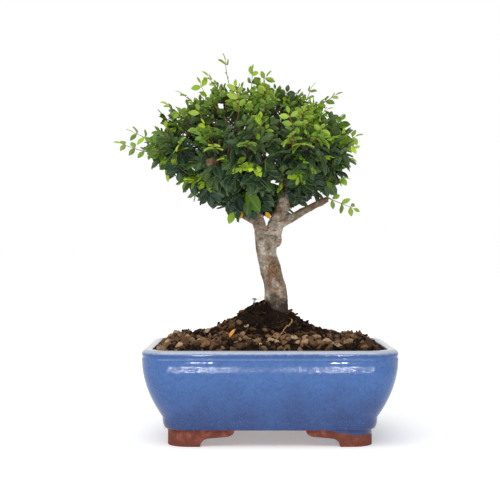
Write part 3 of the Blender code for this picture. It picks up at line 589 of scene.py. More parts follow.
class Heap:
    """Many placed copies of shapes, gathered into one mesh."""

    def __init__(self, *names):
        self.names = names
        self.parts = []

    def add(self, shape, points, skin=0, **values):
        """Add a copy of a shape with its points already placed, and one value a copy."""
        self.parts.append((shape, points, skin, values))

    def place(self, shape, matrix, skin=0, **values):
        """Add a copy of a shape, placed by a matrix."""
        table = np.array(matrix)
        self.add(shape, shape.points @ table[:3, :3].T + table[:3, 3], skin, **values)

    def build(self, name):
        """Make the mesh, with one float attribute for each name."""
        counts = [len(points) for _, points, _, _ in self.parts]
        offsets = np.concatenate([[0], np.cumsum(counts)[:-1]]).astype(np.int64)
        points = np.concatenate([points for _, points, _, _ in self.parts])
        corners = np.concatenate([shape.corners + offset
                                  for (shape, _, _, _), offset in zip(self.parts, offsets)])
        sizes = np.concatenate([shape.sizes for shape, _, _, _ in self.parts])
        skins = np.concatenate([np.full(len(shape.sizes), skin) for shape, _, skin, _ in self.parts])
        starts = np.concatenate([[0], np.cumsum(sizes)[:-1]])
        mesh = bpy.data.meshes.new(name)
        mesh.vertices.add(len(points))
        mesh.vertices.foreach_set("co", points.astype(np.float32).ravel())
        mesh.loops.add(len(corners))
        mesh.loops.foreach_set("vertex_index", corners.astype(np.int32))
        mesh.polygons.add(len(sizes))
        mesh.polygons.foreach_set("loop_start", starts.astype(np.int32))
        mesh.polygons.foreach_set("material_index", skins.astype(np.int32))
        mesh.update(calc_edges=True)
        mesh.validate()
        for label in self.names:
            filled = []
            for (shape, _, _, values), count in zip(self.parts, counts):
                filled.append(np.full(count, values[label]) if label in values else shape.values[label])
            layer = mesh.attributes.new(label, "FLOAT", "POINT")
            layer.data.foreach_set("value", np.concatenate(filled).astype(np.float32))
        piece = bpy.data.objects.new(name, mesh)
        bpy.context.scene.collection.objects.link(piece)
        return piece


PATH_POINTS = 7  # of a thin rod: a fibre, a stem or a twig
ROOT_POINTS = 21


def model_rod(sides, points=PATH_POINTS):
    """A straight rod one unit long and one in radius, to be bent along a path of some points."""
    steps = points - 1
    piece = add_primitive("circle", "rod", vertices=sides, radius=1, fill_type="NGON")
    edit(piece)
    for _ in range(steps):
        bpy.ops.mesh.extrude_region_move(TRANSFORM_OT_translate={"value": (0, 0, 1 / steps)})
    bpy.ops.mesh.select_all(action="SELECT")
    bpy.ops.mesh.normals_make_consistent(inside=False)
    leave_edit()
    return Shape(piece, across=lambda points: np.full(len(points), 0.5),
                 under=lambda points: np.zeros(len(points)))


def bend_rod(rod, path, radii):
    """The rod's points, bent along a path whose points are evenly spread over its length."""
    last = len(path) - 1
    frames = []
    across = None
    for k, point in enumerate(path):
        ahead = (path[min(k + 1, last)] - path[max(k - 1, 0)]).normalized()
        if across is None:
            across = ahead.orthogonal().normalized()
        across = (across - ahead * across.dot(ahead)).normalized()
        frames.append((point, across, ahead.cross(across)))
    bent = []
    for x, y, z in rod.points:
        k = min(int(round(z * last)), last)
        point, side, other = frames[k]
        bent.append(point + (side * x + other * y) * radii[k])
    return np.array(bent)


# Half-widths of a leaf at stations along it, from foot to tip
LEAF_OUTLINE = ((0.0, 0.05), (0.2, 0.62), (0.45, 1.0), (0.7, 0.86), (0.9, 0.42), (1.0, 0.04))
LEAF_HALF_WIDTH = 0.285
LIFT = 2  # rows that are shaped are lifted by this, so that they aren't picked again


def model_leaf(fold, curl):
    """A leaf one unit long, foot at the origin and tip along Y, folded along its rib and curled."""
    rows = len(LEAF_OUTLINE) - 1
    piece = add_primitive("grid", "leaf", x_subdivisions=2, y_subdivisions=rows, size=2)
    edit(piece)
    levels = spread(-1, 1, rows + 1)
    for level, (reach, half) in reversed(list(zip(levels, LEAF_OUTLINE))):
        pick(piece, "verts", lambda vertex: abs(vertex.co.y - level) < 0.01 and vertex.co.z < 1)
        wide = half * LEAF_HALF_WIDTH
        bpy.ops.transform.resize(value=(wide, 1, 1), center_override=(0, level, 0))
        bpy.ops.transform.translate(value=(0, reach - level, LIFT - curl * reach ** 2))
    for side in (-1, 1):
        pick(piece, "verts", lambda vertex: vertex.co.x * side > 0.001)
        bpy.ops.transform.translate(value=(0, 0, fold * LEAF_HALF_WIDTH))
    pick(piece, "verts", lambda vertex: True)
    bpy.ops.transform.translate(value=(0, 0, -LIFT))
    leave_edit()
    apply_modifier(piece, "SOLIDIFY", thickness=0.035, offset=0)
    lower = [vertex.index for vertex in piece.data.vertices if vertex.normal.z < 0]

    def under(points):
        flags = np.zeros(len(points))
        flags[lower] = 1
        return flags

    def across(points):
        off_rib = np.abs(points[:, 0])
        return np.clip(off_rib / (0.05 + off_rib.max() * 0.9), 0, 1)

    return Shape(piece, under=under, across=across)


def model_stone(seed):
    """An angular stone about one unit across: a ball with flats broken off it."""
    draw = random.Random(seed)
    piece = add_primitive("ico_sphere", "stone", subdivisions=2, radius=0.56)
    edit(piece)
    for _ in range(8):
        away = random_vector(draw).normalized()
        bpy.ops.mesh.select_all(action="SELECT")
        bpy.ops.mesh.bisect(plane_co=away * draw.uniform(0.3, 0.46), plane_no=away, use_fill=True,
                            clear_outer=True)
    bpy.ops.mesh.select_all(action="SELECT")
    bpy.ops.mesh.dissolve_limited(angle_limit=math.radians(9))
    bpy.ops.mesh.select_all(action="SELECT")
    bpy.ops.transform.vertex_random(offset=0.02, seed=seed)
    leave_edit()
    return Shape(piece)


def model_crumb(seed):
    """A ragged crumb about one unit across."""
    piece = add_primitive("ico_sphere", "crumb", subdivisions=1, radius=0.5)
    edit(piece)
    bpy.ops.transform.vertex_random(offset=0.2, seed=seed)
    leave_edit()
    return Shape(piece)


def model_chip(seed):
    """A splinter of bark one unit long."""
    piece = add_primitive("cube", "chip", size=1, scale=(1, 0.3, 0.12))
    edit(piece)
    bpy.ops.mesh.subdivide(number_cuts=1)
    bpy.ops.transform.vertex_random(offset=0.05, seed=seed)
    leave_edit()
    return Shape(piece)


def model_peat():
    """Four crumbs and four chips, to scatter."""
    return [model_crumb(seed) for seed in range(4)], [model_chip(seed) for seed in range(4)]


def random_vector(draw):
    """A vector in a random direction, about one unit long."""
    return Vector([draw.gauss(0, 0.6) for _ in range(3)])


def turned(place, size, draw, flat=1.0, tilt=math.pi):
    """A matrix that puts a shape at a place, turned at random, with a size along each axis."""
    turn = Matrix.Rotation(draw.uniform(0, 2 * math.pi), 4, "Z")
    lean = Matrix.Rotation(draw.uniform(-tilt, tilt), 4, "X")
    roll = Matrix.Rotation(draw.uniform(-tilt, tilt), 4, "Y")
    scale = Matrix.Diagonal((size, size * draw.uniform(0.7, 1.0), size * flat, 1))
    return Matrix.Translation(place) @ turn @ (lean @ roll) @ scale


# ---------------------------------------------------------------- pot
LIP_HEIGHT = 7 * MM
LIP_ROUND = 3.5 * MM
INNER_LIP_ROUND = 2 * MM
LIP_GROOVE = ((0.35 * MM, 0.5 * MM), (0.6 * MM, 1.1 * MM), (0.45 * MM, 1.8 * MM), (0.1 * MM, 2.4 * MM))
BAND_DRAW_IN = 2.6 * MM
FLOOR = 7 * MM
HEEL = 10 * MM
INNER_DEPTH = 4 * MM  # where the straight inner wall starts, below the rim
FOOT_SETBACK = 1.6 * MM
FOOT_THICKNESS = 9 * MM
GAP_SHOULDER = 1 * MM
GAP_SCOOP = 7.5 * MM
GAP_DROP = 4.4 * MM
GAP_LEDGE = 11.5 * MM
GAP_LEDGE_FALL = 1 * MM
GAP_TOE = 7.5 * MM
DRAIN_RADIUS = 8 * MM


def wall_inset(pot, level):
    """How far the wall is drawn in at a height between the band and the lip."""
    crease = pot.foot_height + pot.band_height
    share = min(max((level - crease) / (RIM - LIP_HEIGHT - crease), 0.0), 1.0)
    return pot.draw_in * (1 - share) ** 2


def pot_profile(pot):
    """(inset, height) up the pot's outside, over the lip and down its inside to the floor."""
    profile = []
    for angle in spread(0, math.pi / 2, 7):
        inset = pot.draw_in + BAND_DRAW_IN * (1 - math.sin(angle))
        profile.append((inset, pot.foot_height + pot.band_height * (1 - math.cos(angle))))
    for level in spread(pot.foot_height + pot.band_height, RIM - LIP_HEIGHT, 16)[1:]:
        profile.append((wall_inset(pot, level), level))
    profile.extend((inset, RIM - LIP_HEIGHT + rise) for inset, rise in LIP_GROOVE)
    for angle in spread(0, math.pi / 2, 7):
        profile.append((LIP_ROUND * (1 - math.cos(angle)), RIM - LIP_ROUND * (1 - math.sin(angle))))
    for angle in spread(math.pi / 2, 0, 5):
        inset = pot.wall - INNER_LIP_ROUND * (1 - math.cos(angle))
        profile.append((inset, RIM - INNER_LIP_ROUND * (1 - math.sin(angle))))
    heel_top = pot.foot_height + FLOOR + HEEL
    for level in spread(RIM - INNER_DEPTH, heel_top, 6):
        profile.append((wall_inset(pot, level) + pot.wall, level))
    edge = wall_inset(pot, heel_top) + pot.wall
    for angle in spread(0, math.pi / 2, 6)[1:]:
        profile.append((edge + HEEL * (1 - math.cos(angle)), heel_top - HEEL * math.sin(angle)))
    return profile


def rounded_slab(name, pot, inset, level):
    """A flat rounded rectangle, drawn in from the pot's widest line."""
    piece = add_primitive("plane", name, size=1, location=(MIDDLE_X, 0, level))
    piece.scale = (2 * (HALF_X - inset), 2 * (HALF_Y - inset), 1)
    bpy.ops.object.transform_apply(location=True, rotation=True, scale=True)
    edit(piece)
    bpy.ops.mesh.bevel(offset=pot.corner - 0.35 * inset, segments=10, affect="VERTICES")
    return piece


def climb(profile):
    """In edit mode, extrude the selected slab through a profile of insets and heights."""
    for (inset, level), (next_inset, next_level) in zip(profile, profile[1:]):
        bpy.ops.mesh.extrude_region_move(TRANSFORM_OT_translate={"value": (0, 0, next_level - level)})
        shrink = ((HALF_X - next_inset) / (HALF_X - inset), (HALF_Y - next_inset) / (HALF_Y - inset), 1)
        bpy.ops.transform.resize(value=shrink, center_override=(MIDDLE_X, 0, next_level))


def gap_outline(pot, half_width, scale):
    """(side, height) down one side of the gap between two cloud feet: scoop, ledge and toe."""
    top = pot.foot_height
    side = [(half_width, top + 3 * MM), (half_width, top - GAP_SHOULDER)]
    for angle in spread(0, math.pi / 2, 6)[1:]:
        reach = half_width + GAP_SCOOP * (1 - math.cos(angle)) * scale
        side.append((reach, top - GAP_SHOULDER - GAP_DROP * math.sin(angle)))
    ledge = half_width + (GAP_SCOOP + GAP_LEDGE) * scale
    ledge_height = top - GAP_SHOULDER - GAP_DROP - GAP_LEDGE_FALL
    for angle in spread(0, math.pi / 2, 6):
        side.append((ledge + GAP_TOE * math.sin(angle) * scale, ledge_height * math.cos(angle)))
    side.append((ledge + GAP_TOE * scale, -2 * MM))
    return side


def gap_cutter(pot, half_width, scale, along_x):
    """A cutter for the gap between two feet, drawn point by point and pushed through the pot."""
    right = gap_outline(pot, half_width, scale)
    outline = right + [(-side, height) for side, height in reversed(right)]
    reach = HALF_X + HALF_Y
    if along_x:
        outline = [Vector((MIDDLE_X - reach, side, height)) for side, height in outline]
        push = (2 * reach, 0, 0)
    else:
        outline = [Vector((MIDDLE_X + side, -reach, height)) for side, height in outline]
        push = (0, 2 * reach, 0)
    piece = add_primitive("plane", "gap_cutter", size=1 * MM, location=outline[0])
    edit(piece)
    bpy.ops.mesh.merge(type="CENTER")
    for start, end in zip(outline, outline[1:]):
        bpy.ops.mesh.extrude_region_move(TRANSFORM_OT_translate={"value": end - start})
    bpy.ops.mesh.select_all(action="SELECT")
    bpy.ops.mesh.edge_face_add()
    bpy.ops.mesh.extrude_region_move(TRANSFORM_OT_translate={"value": push})
    bpy.ops.mesh.select_all(action="SELECT")
    bpy.ops.mesh.normals_make_consistent(inside=False)
    leave_edit()
    return piece


def drain_places():
    """Where the two drain holes are: over the middles of the CAD drain meshes."""
    return [middle_of(node) for node in nodes_called("drain_mesh")]


class BONSAI_OT_pot(bpy.types.Operator):
    """Build the glazed pot: one rounded casting on four cloud feet"""
    bl_idname = "bonsai.pot"
    bl_label = "Pot"

    def execute(self, context):
        pot = context.scene.bonsai_pot
        profile = pot_profile(pot)
        body = rounded_slab("pot_body", pot, *profile[0])
        climb(profile)
        bpy.ops.mesh.select_all(action="SELECT")
        bpy.ops.mesh.normals_make_consistent(inside=False)
        leave_edit()
        for place in drain_places():
            hole = add_primitive("cylinder", "drain_cutter", vertices=24, radius=DRAIN_RADIUS,
                                 depth=30 * MM, location=place)
            cut_out(body, hole)

        edge = pot.draw_in + BAND_DRAW_IN + FOOT_SETBACK
        top = pot.foot_height + 1 * MM
        feet = rounded_slab("pot_feet", pot, edge, 0)
        climb([(edge, 0), (edge, top)])
        leave_edit()
        core = rounded_slab("core_cutter", pot, edge + FOOT_THICKNESS, -2 * MM)
        climb([(edge + FOOT_THICKNESS, -2 * MM), (edge + FOOT_THICKNESS, top + 2 * MM)])
        leave_edit()
        cut_out(feet, core)
        cut_out(feet, gap_cutter(pot, half_width=28 * MM, scale=1.0, along_x=False))
        cut_out(feet, gap_cutter(pot, half_width=18 * MM, scale=0.7, along_x=True))
        apply_modifier(feet, "BEVEL", width=1.0 * MM, segments=3, limit_method="ANGLE",
                       angle_limit=math.radians(50))
        piece = join([body, feet], "glazed_pot")
        hand_over(piece, 42, [glazed_stoneware(pot)], ["pot"])
        return {"FINISHED"}


class BONSAI_OT_drain_mesh(bpy.types.Operator):
    """Give the two drain meshes their plastic"""
    bl_idname = "bonsai.drain_mesh"
    bl_label = "Drain Meshes"

    def execute(self, context):
        plastic = drain_mesh_plastic()
        for node in nodes_called("drain_mesh"):
            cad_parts[node].material_slots[0].material = plastic
        return {"FINISHED"}


# ---------------------------------------------------------------- soil and what lies on it
SOIL_EDGE = 8 * MM  # the soil's edge, in from the pot's widest line
SOIL_CORNER = 20 * MM
MARGIN = 3 * MM  # what is scattered stays this far inside the soil's edge
NEAR_TRUNK = 34 * MM
GRAVEL_STARTS = 46 * MM  # from the trunk's foot
BARE_END = 56 * MM  # the peat shows at the right end, past this from the pot's middle
LARGE_GRAVEL = -35 * MM  # the gravel in front of this is larger
SINGLE_LAYER = 26 * MM  # stones lie on others only this near the wall
PILE_HEIGHT = 2.5 * MM


def surface_tree(piece):
    """A piece's surface, for dropping things onto it."""
    mesh = piece.data
    return BVHTree.FromPolygons([vertex.co for vertex in mesh.vertices],
                                [tuple(face.vertices) for face in mesh.polygons])


def drop(surface, x, y):
    """Where a straight line down meets a surface, and how the surface slopes there."""
    return surface.ray_cast(Vector((x, y, CAD_BOX[1].z)), -UP)[:2]


def wall_distance(x, y):
    """How far a place on the soil is from the inner wall, roughly."""
    return min(HALF_X - SOIL_EDGE - abs(x - MIDDLE_X), HALF_Y - SOIL_EDGE - abs(y))


def in_corner(x, y):
    """Whether a place lies outside the rounded corners of the soil."""
    over_x = abs(x - MIDDLE_X) - (HALF_X - SOIL_EDGE - SOIL_CORNER)
    over_y = abs(y) - (HALF_Y - SOIL_EDGE - SOIL_CORNER)
    return over_x > 0 and over_y > 0 and math.hypot(over_x, over_y) > SOIL_CORNER - MARGIN


def soil_places(draw, count):
    """Places on the soil, inside its rounded outline."""
    low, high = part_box("soil")
    places = []
    while len(places) < count:
        x = draw.uniform(low.x + MARGIN, high.x - MARGIN)
        y = draw.uniform(low.y + MARGIN, high.y - MARGIN)
        if not in_corner(x, y):
            places.append((x, y))
    return places


def trunk_distance(x, y):
    """How far a place on the soil is from the trunk's foot."""
    foot = from_pot(5.5, 0, 0)
    return math.hypot(x - foot.x, y - foot.y)


def gravel_chance(x, y):
    """How likely gravel lies at a place: hardly any by the trunk, little at the right end."""
    off_trunk = trunk_distance(x, y * 1.15)
    if off_trunk < NEAR_TRUNK:
        chance = 0.02
    elif off_trunk < GRAVEL_STARTS:
        chance = 0.25
    else:
        chance = 0.85
    return chance * 0.3 if x > MIDDLE_X + BARE_END else chance


class BONSAI_OT_soil(bpy.types.Operator):
    """Build the peat mound with its crumbs, chips and fibres"""
    bl_idname = "bonsai.soil"
    bl_label = "Soil"

    def execute(self, context):
        soil = context.scene.bonsai_soil
        bed = copy_node("soil", "peat_bed")
        edit(bed)
        ground = RIM - 8 * MM
        pick(bed, "faces", lambda face: face.normal.z > 0.3 and face.calc_center_median().z > ground)
        bpy.ops.mesh.subdivide(number_cuts=5)
        leave_edit()
        top = bed.vertex_groups.new(name="top")
        top.add([vertex.index for vertex in bed.data.vertices if vertex.co.z > ground], 1.0, "REPLACE")
        apply_modifier(bed, "DISPLACE", texture=cloud_texture("peat_lumps", 9 * MM), strength=3.2 * MM,
                       mid_level=0.5, vertex_group="top")
        apply_modifier(bed, "DISPLACE", texture=cloud_texture("peat_grain", 2.5 * MM), strength=1.6 * MM,
                       mid_level=0.5, vertex_group="top")
        layer = bed.data.attributes.new("tone", "FLOAT", "POINT")
        layer.data.foreach_set("value", np.full(len(bed.data.vertices), 0.1, dtype=np.float32))
        peat = damp_peat(soil)
        hand_over(bed, 60, [peat], ["soil"])

        draw = random.Random(5)
        surface = surface_tree(bed)
        crumbs, chips = model_peat()
        rod = model_rod(4)
        heap = Heap("tone")
        for x, y in soil_places(draw, soil.crumbs):
            point, _ = drop(surface, x, y)
            size = draw.triangular(1.0, 4.6, 1.6) * MM
            heap.place(draw.choice(crumbs), turned(point + UP * size * 0.15, size, draw, 0.8),
                       tone=draw.triangular(-0.2, 0.5, 0.05))
        for x, y in soil_places(draw, soil.chips):
            point, slope = drop(surface, x, y)
            size = draw.triangular(3, 11, 5) * MM
            if draw.random() < 0.45:
                heap.place(draw.choice(chips), turned(point + UP * 0.8 * MM, size, draw, 1.0, 0.6),
                           tone=draw.uniform(0.0, 0.75))
                continue
            heading = Vector((draw.gauss(0, 1), draw.gauss(0, 1), draw.uniform(-0.2, 0.5))).normalized()
            heading = (heading - slope * heading.dot(slope) * 0.8).normalized()
            sway = random_vector(draw) * size * 0.25
            path = []
            for share in spread(0, 1, PATH_POINTS):
                along = heading * size * (share - 0.5)
                path.append(point + UP * 0.9 * MM + along + sway * math.sin(share * 3.1))
            radii = [draw.uniform(0.18, 0.4) * MM] * PATH_POINTS
            heap.add(rod, bend_rod(rod, path, radii), tone=draw.uniform(0.3, 0.95))
        hand_over(heap.build("peat_crumbs"), 25, [peat])
        return {"FINISHED"}


class BONSAI_OT_gravel(bpy.types.Operator):
    """Scatter the angular gravel round the edge of the soil"""
    bl_idname = "bonsai.gravel"
    bl_label = "Gravel"

    def execute(self, context):
        soil = context.scene.bonsai_soil
        draw = random.Random(9)
        surface = surface_tree(bpy.data.objects["peat_bed"])
        stones = [model_stone(seed) for seed in range(7)]
        heap = Heap("tone")
        laid = []
        for x, y in soil_places(draw, soil.stones * 14):
            if len(laid) >= soil.stones:
                break
            off_wall = wall_distance(x, y)
            if draw.random() > gravel_chance(x, y):
                continue
            size = draw.triangular(0.55, 1.6, 0.9) * soil.stone_size * (1.2 if y < LARGE_GRAVEL else 1.0)
            if off_wall < size / 2:
                continue
            point, _ = drop(surface, x, y)
            level = point.z - size * 0.12
            near = [(their_level, their_size) for their_x, their_y, their_level, their_size in laid
                    if math.hypot(their_x - x, their_y - y) < (their_size + size) * 0.36]
            if near:
                if len(near) > 2 or off_wall > SINGLE_LAYER:
                    continue
                level = max(their_level + (their_size + size) * 0.17 for their_level, their_size in near)
            if level > point.z + PILE_HEIGHT:
                continue
            laid.append((x, y, level, size))
            stone = draw.choice(stones)
            flat = draw.uniform(0.62, 0.85)
            heap.place(stone, turned(Vector((x, y, level)), size, draw, flat, 0.7),
                       tone=draw.triangular(-0.05, 0.85, 0.25))
        gravel = heap.build("gravel")
        hand_over(gravel, 18, [fired_clay_gravel(soil)], nodes_called("pebble"))

        # Peat that was scattered over the gravel
        crumbs, chips = model_peat()
        stones_top = surface_tree(gravel)
        heap = Heap("tone")
        for x, y in soil_places(draw, soil.scattered):
            point, _ = drop(stones_top, x, y)
            if point is None or draw.random() < noise.noise(Vector((x, y, 0)) * 45) + 0.35:
                continue
            size = draw.triangular(0.8, 3.4, 1.2) * MM
            kind = draw.choice(chips if draw.random() < 0.12 else crumbs)
            heap.place(kind, turned(point + UP * size * 0.2, size, draw, 0.8),
                       tone=draw.triangular(-0.2, 0.6, 0.05))
        peat = bpy.data.materials["damp_sphagnum_peat"]
        hand_over(heap.build("peat_on_gravel"), 25, [peat])
        return {"FINISHED"}


class BONSAI_OT_litter(bpy.types.Operator):
    """Lay the fallen leaf, the dry rootlet and the seedling on the soil"""
    bl_idname = "bonsai.litter"
    bl_label = "Fallen Leaf, Rootlet and Seedling"

    def execute(self, context):
        surface = surface_tree(bpy.data.objects["peat_bed"])
        leaf = model_leaf(0.35, 0.25)
        rod = model_rod(6, ROOT_POINTS)
        thin_rod = model_rod(5)

        heap = Heap()
        middle = middle_of("fallen_leaf")
        lean = Matrix.Rotation(0.9, 4, "X") @ Matrix.Rotation(-0.5, 4, "Y")
        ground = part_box("fallen_leaf")[0].z
        foot = Matrix.Translation(Vector((middle.x - 1 * MM, middle.y, ground + 2 * MM)))
        heap.place(leaf, foot @ Matrix.Rotation(-0.35, 4, "Z") @ lean @ Matrix.Scale(9.5 * MM, 4))
        skin = dry_litter("dry_orange_leaf", "#c26a10", "#f0a63a", 0.55)
        hand_over(heap.build("dry_orange_leaf"), 50, [skin], ["fallen_leaf"])

        route = [(18, -14), (16, -24), (9, -33), (7, -42), (4, -50)]
        heap = Heap()
        path = []
        for share in spread(0, len(route) - 1, ROOT_POINTS):
            k = min(int(share), len(route) - 2)
            (x, y), (next_x, next_y) = route[k:k + 2]
            x += (next_x - x) * (share - k) + math.sin(share * 3.7) * 0.9
            y += (next_y - y) * (share - k)
            place = from_pot(x, y, 0)
            point, _ = drop(surface, place.x, place.y)
            path.append(point + UP * (1.6 + 0.8 * math.sin(share * 2.3)) * MM)
        heap.add(rod, bend_rod(rod, path, [0.62 * MM - 0.018 * MM * k for k in range(ROOT_POINTS)]))
        draw = random.Random(3)
        for start in (5, 9, 13, 17):
            aim = Vector((draw.uniform(-1, 1), draw.uniform(-0.6, 0.2), draw.uniform(-0.3, 0.4)))
            aim.normalize()
            hair = [path[start] + aim * 6 * MM * share + UP * math.sin(share * 3) * MM
                    for share in spread(0, 1, PATH_POINTS)]
            heap.add(thin_rod, bend_rod(thin_rod, hair, [0.22 * MM] * PATH_POINTS))
        skin = dry_litter("dry_pale_root", "#8a6238", "#c49a68", 0.8)
        hand_over(heap.build("dry_rootlet"), 50, [skin], ["rootlet"])

        low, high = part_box("seedling")
        middle = middle_of("seedling")
        heap = Heap()
        foot = Vector((middle.x, middle.y, low.z - 1 * MM))
        top = Vector((middle.x + 0.4 * MM, middle.y, high.z - 0.6 * MM))
        stem = [foot.lerp(top, share) for share in spread(0, 1, PATH_POINTS)]
        heap.add(thin_rod, bend_rod(thin_rod, stem, [0.45 * MM] * PATH_POINTS))
        for number in range(5):
            turn = Matrix.Rotation(number * 2.4 + 0.4, 4, "Z") @ Matrix.Rotation(0.25, 4, "X")
            size = (4.6 - 0.5 * number) * MM
            place = Matrix.Translation(top - UP * (0.25 * MM * number))
            heap.place(leaf, place @ turn @ Matrix.Diagonal((size * 1.3, size, size, 1)))
        skin = dry_litter("weed_seedling", "#5f7a55", "#93a888", 0.6)
        hand_over(heap.build("weed_seedling"), 50, [skin], ["seedling"])
        return {"FINISHED"}


# ---------------------------------------------------------------- wood
# The swelling round an old wound: its middle and half sizes, in mm from the pot's middle
WOUND_MIDDLE = (6.2, -1, 162)
WOUND_SIZE = (4.4, 5.5, 6.8)

# Old pruning cuts: start, cut end and radius, in mm as above
PRUNED_STUBS = (
    ((-37, -37, 227), (-48, -54, 221), 3.0),
    ((12, 2, 186), (6, -2, 180), 2.6),
)


def add_stub(start, end, radius):
    """A cut stub of a limb, a little wider at its cut end."""
    start = from_pot(*start)
    end = from_pot(*end)
    run = end - start
    stub = add_primitive("cone", "stub", vertices=16, radius1=radius * 0.8 * MM,
                         radius2=radius * 1.1 * MM, depth=run.length, location=(start + end) / 2,
                         rotation=run.to_track_quat("Z", "Y").to_euler())
    bpy.ops.object.transform_apply(location=True, rotation=True, scale=True)
    return stub


class BONSAI_OT_trunk(bpy.types.Operator):
    """Grow the trunk and limbs into one surface, with swellings, flakes and an old wound"""
    bl_idname = "bonsai.trunk"
    bl_label = "Trunk and Limbs"

    def execute(self, context):
        wood = context.scene.bonsai_wood
        trunk = copy_node("trunk", "trunk_and_limbs")
        wound = add_primitive("uv_sphere", "wound", segments=20, ring_count=12, radius=1,
                              location=from_pot(*WOUND_MIDDLE), scale=[half * MM for half in WOUND_SIZE])
        bpy.ops.object.transform_apply(location=True, rotation=True, scale=True)
        stubs = [add_stub(*stub) for stub in PRUNED_STUBS]
        trunk = join([trunk, wound, *stubs], "trunk_and_limbs")
        apply_modifier(trunk, "REMESH", mode="VOXEL", voxel_size=wood.voxel, adaptivity=0)
        apply_modifier(trunk, "SMOOTH", factor=0.6, iterations=6)
        apply_modifier(trunk, "DISPLACE", texture=cloud_texture("swellings", 13 * MM, 1),
                       strength=wood.lumps, mid_level=0.5)
        apply_modifier(trunk, "DISPLACE", texture=cloud_texture("flakes", 2.6 * MM, 3),
                       strength=wood.flakes, mid_level=0.5)
        hand_over(trunk, 70, [smooth_bark(wood)], ["trunk"])
        return {"FINISHED"}


# ---------------------------------------------------------------- foliage
# The crown's outline: overlapping rounded masses, (middle, half sizes) in mm from the pot's middle
CROWN_MASSES = (
    ((-14, 0, 240), (64, 58, 41)),
    ((-66, -2, 237), (33, 36, 21)),
    ((35, 0, 238), (33, 38, 28)),
    ((-16, 0, 266), (42, 38, 24)),
    ((8, 2, 272), (24, 26, 14)),
    ((-36, 2, 272), (21, 26, 14)),
    ((24, 0, 262), (24, 30, 17)),
    ((-48, 0, 214), (25, 32, 16)),
    ((22, 4, 214), (29, 32, 17)),
    ((-20, -40, 232), (42, 26, 32)),
    ((-20, 40, 232), (42, 26, 32)),
    ((-58, 2, 256), (29, 30, 20)),
    ((-20, -6, 198), (15, 18, 12)),
    ((2, 16, 194), (17, 12, 11)),
    ((22, -34, 236), (26, 22, 26)),
    ((18, 36, 236), (26, 22, 26)),
)

# Shoots that stand out of the crown: (CAD node, foot, tip, pairs of leaves), in mm as above.
# Those that are called just leaf_spray belong to the nearest of the sprays
LONG_SHOOTS = (
    ("shoot_left", (-86, -6, 231), (-121, -8, 240), 4),
    ("shoot_left", (-84, -6, 234), (-111, -8, 249), 4),
    ("shoot_upper_left", (-60, -14, 258), (-82, -18, 270), 3),
    ("shoot_upper_left", (-50, -14, 264), (-70, -16, 279), 4),
    ("shoot_upper_left", (-46, -10, 266), (-56, -12, 288), 3),
    ("shoot_top", (-28, -4, 276), (-36, -6, 308), 3),
    ("shoot_top", (-30, -4, 274), (-50, -6, 295), 4),
    ("shoot_top", (-16, -6, 278), (-14, -10, 298), 3),
    ("shoot_top", (-12, -6, 276), (-2, -10, 294), 3),
    ("shoot_upper_right", (26, -8, 264), (34, -10, 284), 3),
    ("shoot_upper_right", (32, -8, 262), (54, -10, 279), 4),
    ("shoot_right", (48, 13, 236), (73, 16, 248), 4),
    ("shoot_right", (46, 10, 230), (70, 10, 238), 3),
    ("leaf_spray", (17, -54, 232), (14, -62, 258), 4),
    ("leaf_spray", (-26, -50, 254), (-27, -58, 279), 4),
    ("leaf_spray", (-52, -36, 244), (-56, -46, 262), 3),
    ("leaf_spray", (-12, -58, 240), (-6, -66, 250), 3),
    ("leaf_spray", (34, -40, 238), (40, -50, 247), 3),
    ("shoot_low_right", (46, -9.5, 196), (68, -12, 187), 3),
    ("shoot_low_right", (44, -9.5, 208), (60, -12, 211), 3),
)

# Where one can look into or through the crown from the front: middle across and up, radius, and
# how far back the opening reaches, in mm as above
OPENINGS = (
    (9, 183, 9, 3),
    (14, 209, 4, 3),
    (-1, 184, 5, -4),
    (4, 209, 3.5, 90),
    (-23, 204, 2.5, 90),
    (-3, 234, 3, 90),
    (3, 229, 2, 90),
    (-40, 272, 2.5, 90),
    (-32, 259, 2.5, 90),
    (-47, 222, 5, -42),
)

# Single leaves under the crown: (foot, tip, age, paleness), in mm as above
SINGLE_LEAVES = (
    ((-19, -28, 199), (-8, -33, 185), 0.5, 0.8),
    ((-17, -29, 193), (-18, -34, 182), 0.66, 1.0),
    ((-22, -14, 186), (-26, -16, 178), 1.0, 0.5),
    ((-29, -12, 184), (-33, -14, 175), 0.22, 0.5),
    ((-3, -6, 184), (1, -7, 179), 1.0, 0.3),
)


def inside_mass(points, mass, scale):
    """Which points lie inside one of the crown's masses, at a share of its size."""
    middle, half = mass
    reach = (points - np.array(middle)) / (np.array(half) * scale)
    return (reach ** 2).sum(1) < 1


def crown_places(scale, spacing, seed):
    """Points in mm and outward directions, spread over the outside of the crown's masses."""
    draw = np.random.default_rng(seed)
    points = []
    outwards = []
    for number, mass in enumerate(CROWN_MASSES):
        middle = np.array(mass[0])
        half = np.array(mass[1]) * scale
        ball = draw.normal(size=(900, 3))
        ball /= np.linalg.norm(ball, axis=1)[:, None]
        places = middle + ball * half
        outward = ball / half
        outward /= np.linalg.norm(outward, axis=1)[:, None]
        hidden = np.zeros(len(places), dtype=bool)
        for other_number, other in enumerate(CROWN_MASSES):
            if other_number != number:
                hidden |= inside_mass(places, other, scale * 0.98)
        points.append(places[~hidden])
        outwards.append(outward[~hidden])
    points = np.concatenate(points)
    outwards = np.concatenate(outwards)
    order = draw.permutation(len(points))
    kept = []
    for k in order:
        if all(np.linalg.norm(points[k] - points[other]) > spacing for other in kept):
            kept.append(k)
    return points[kept], outwards[kept]


CROWN_FOOT = 190
CROWN_TOP = 280
LOWEST_TIP = 186
CROWN_HEART = (-6, 0, 204)  # the twigs spread from here
TWIG_LEVEL = 174  # twigs start from the wood above this


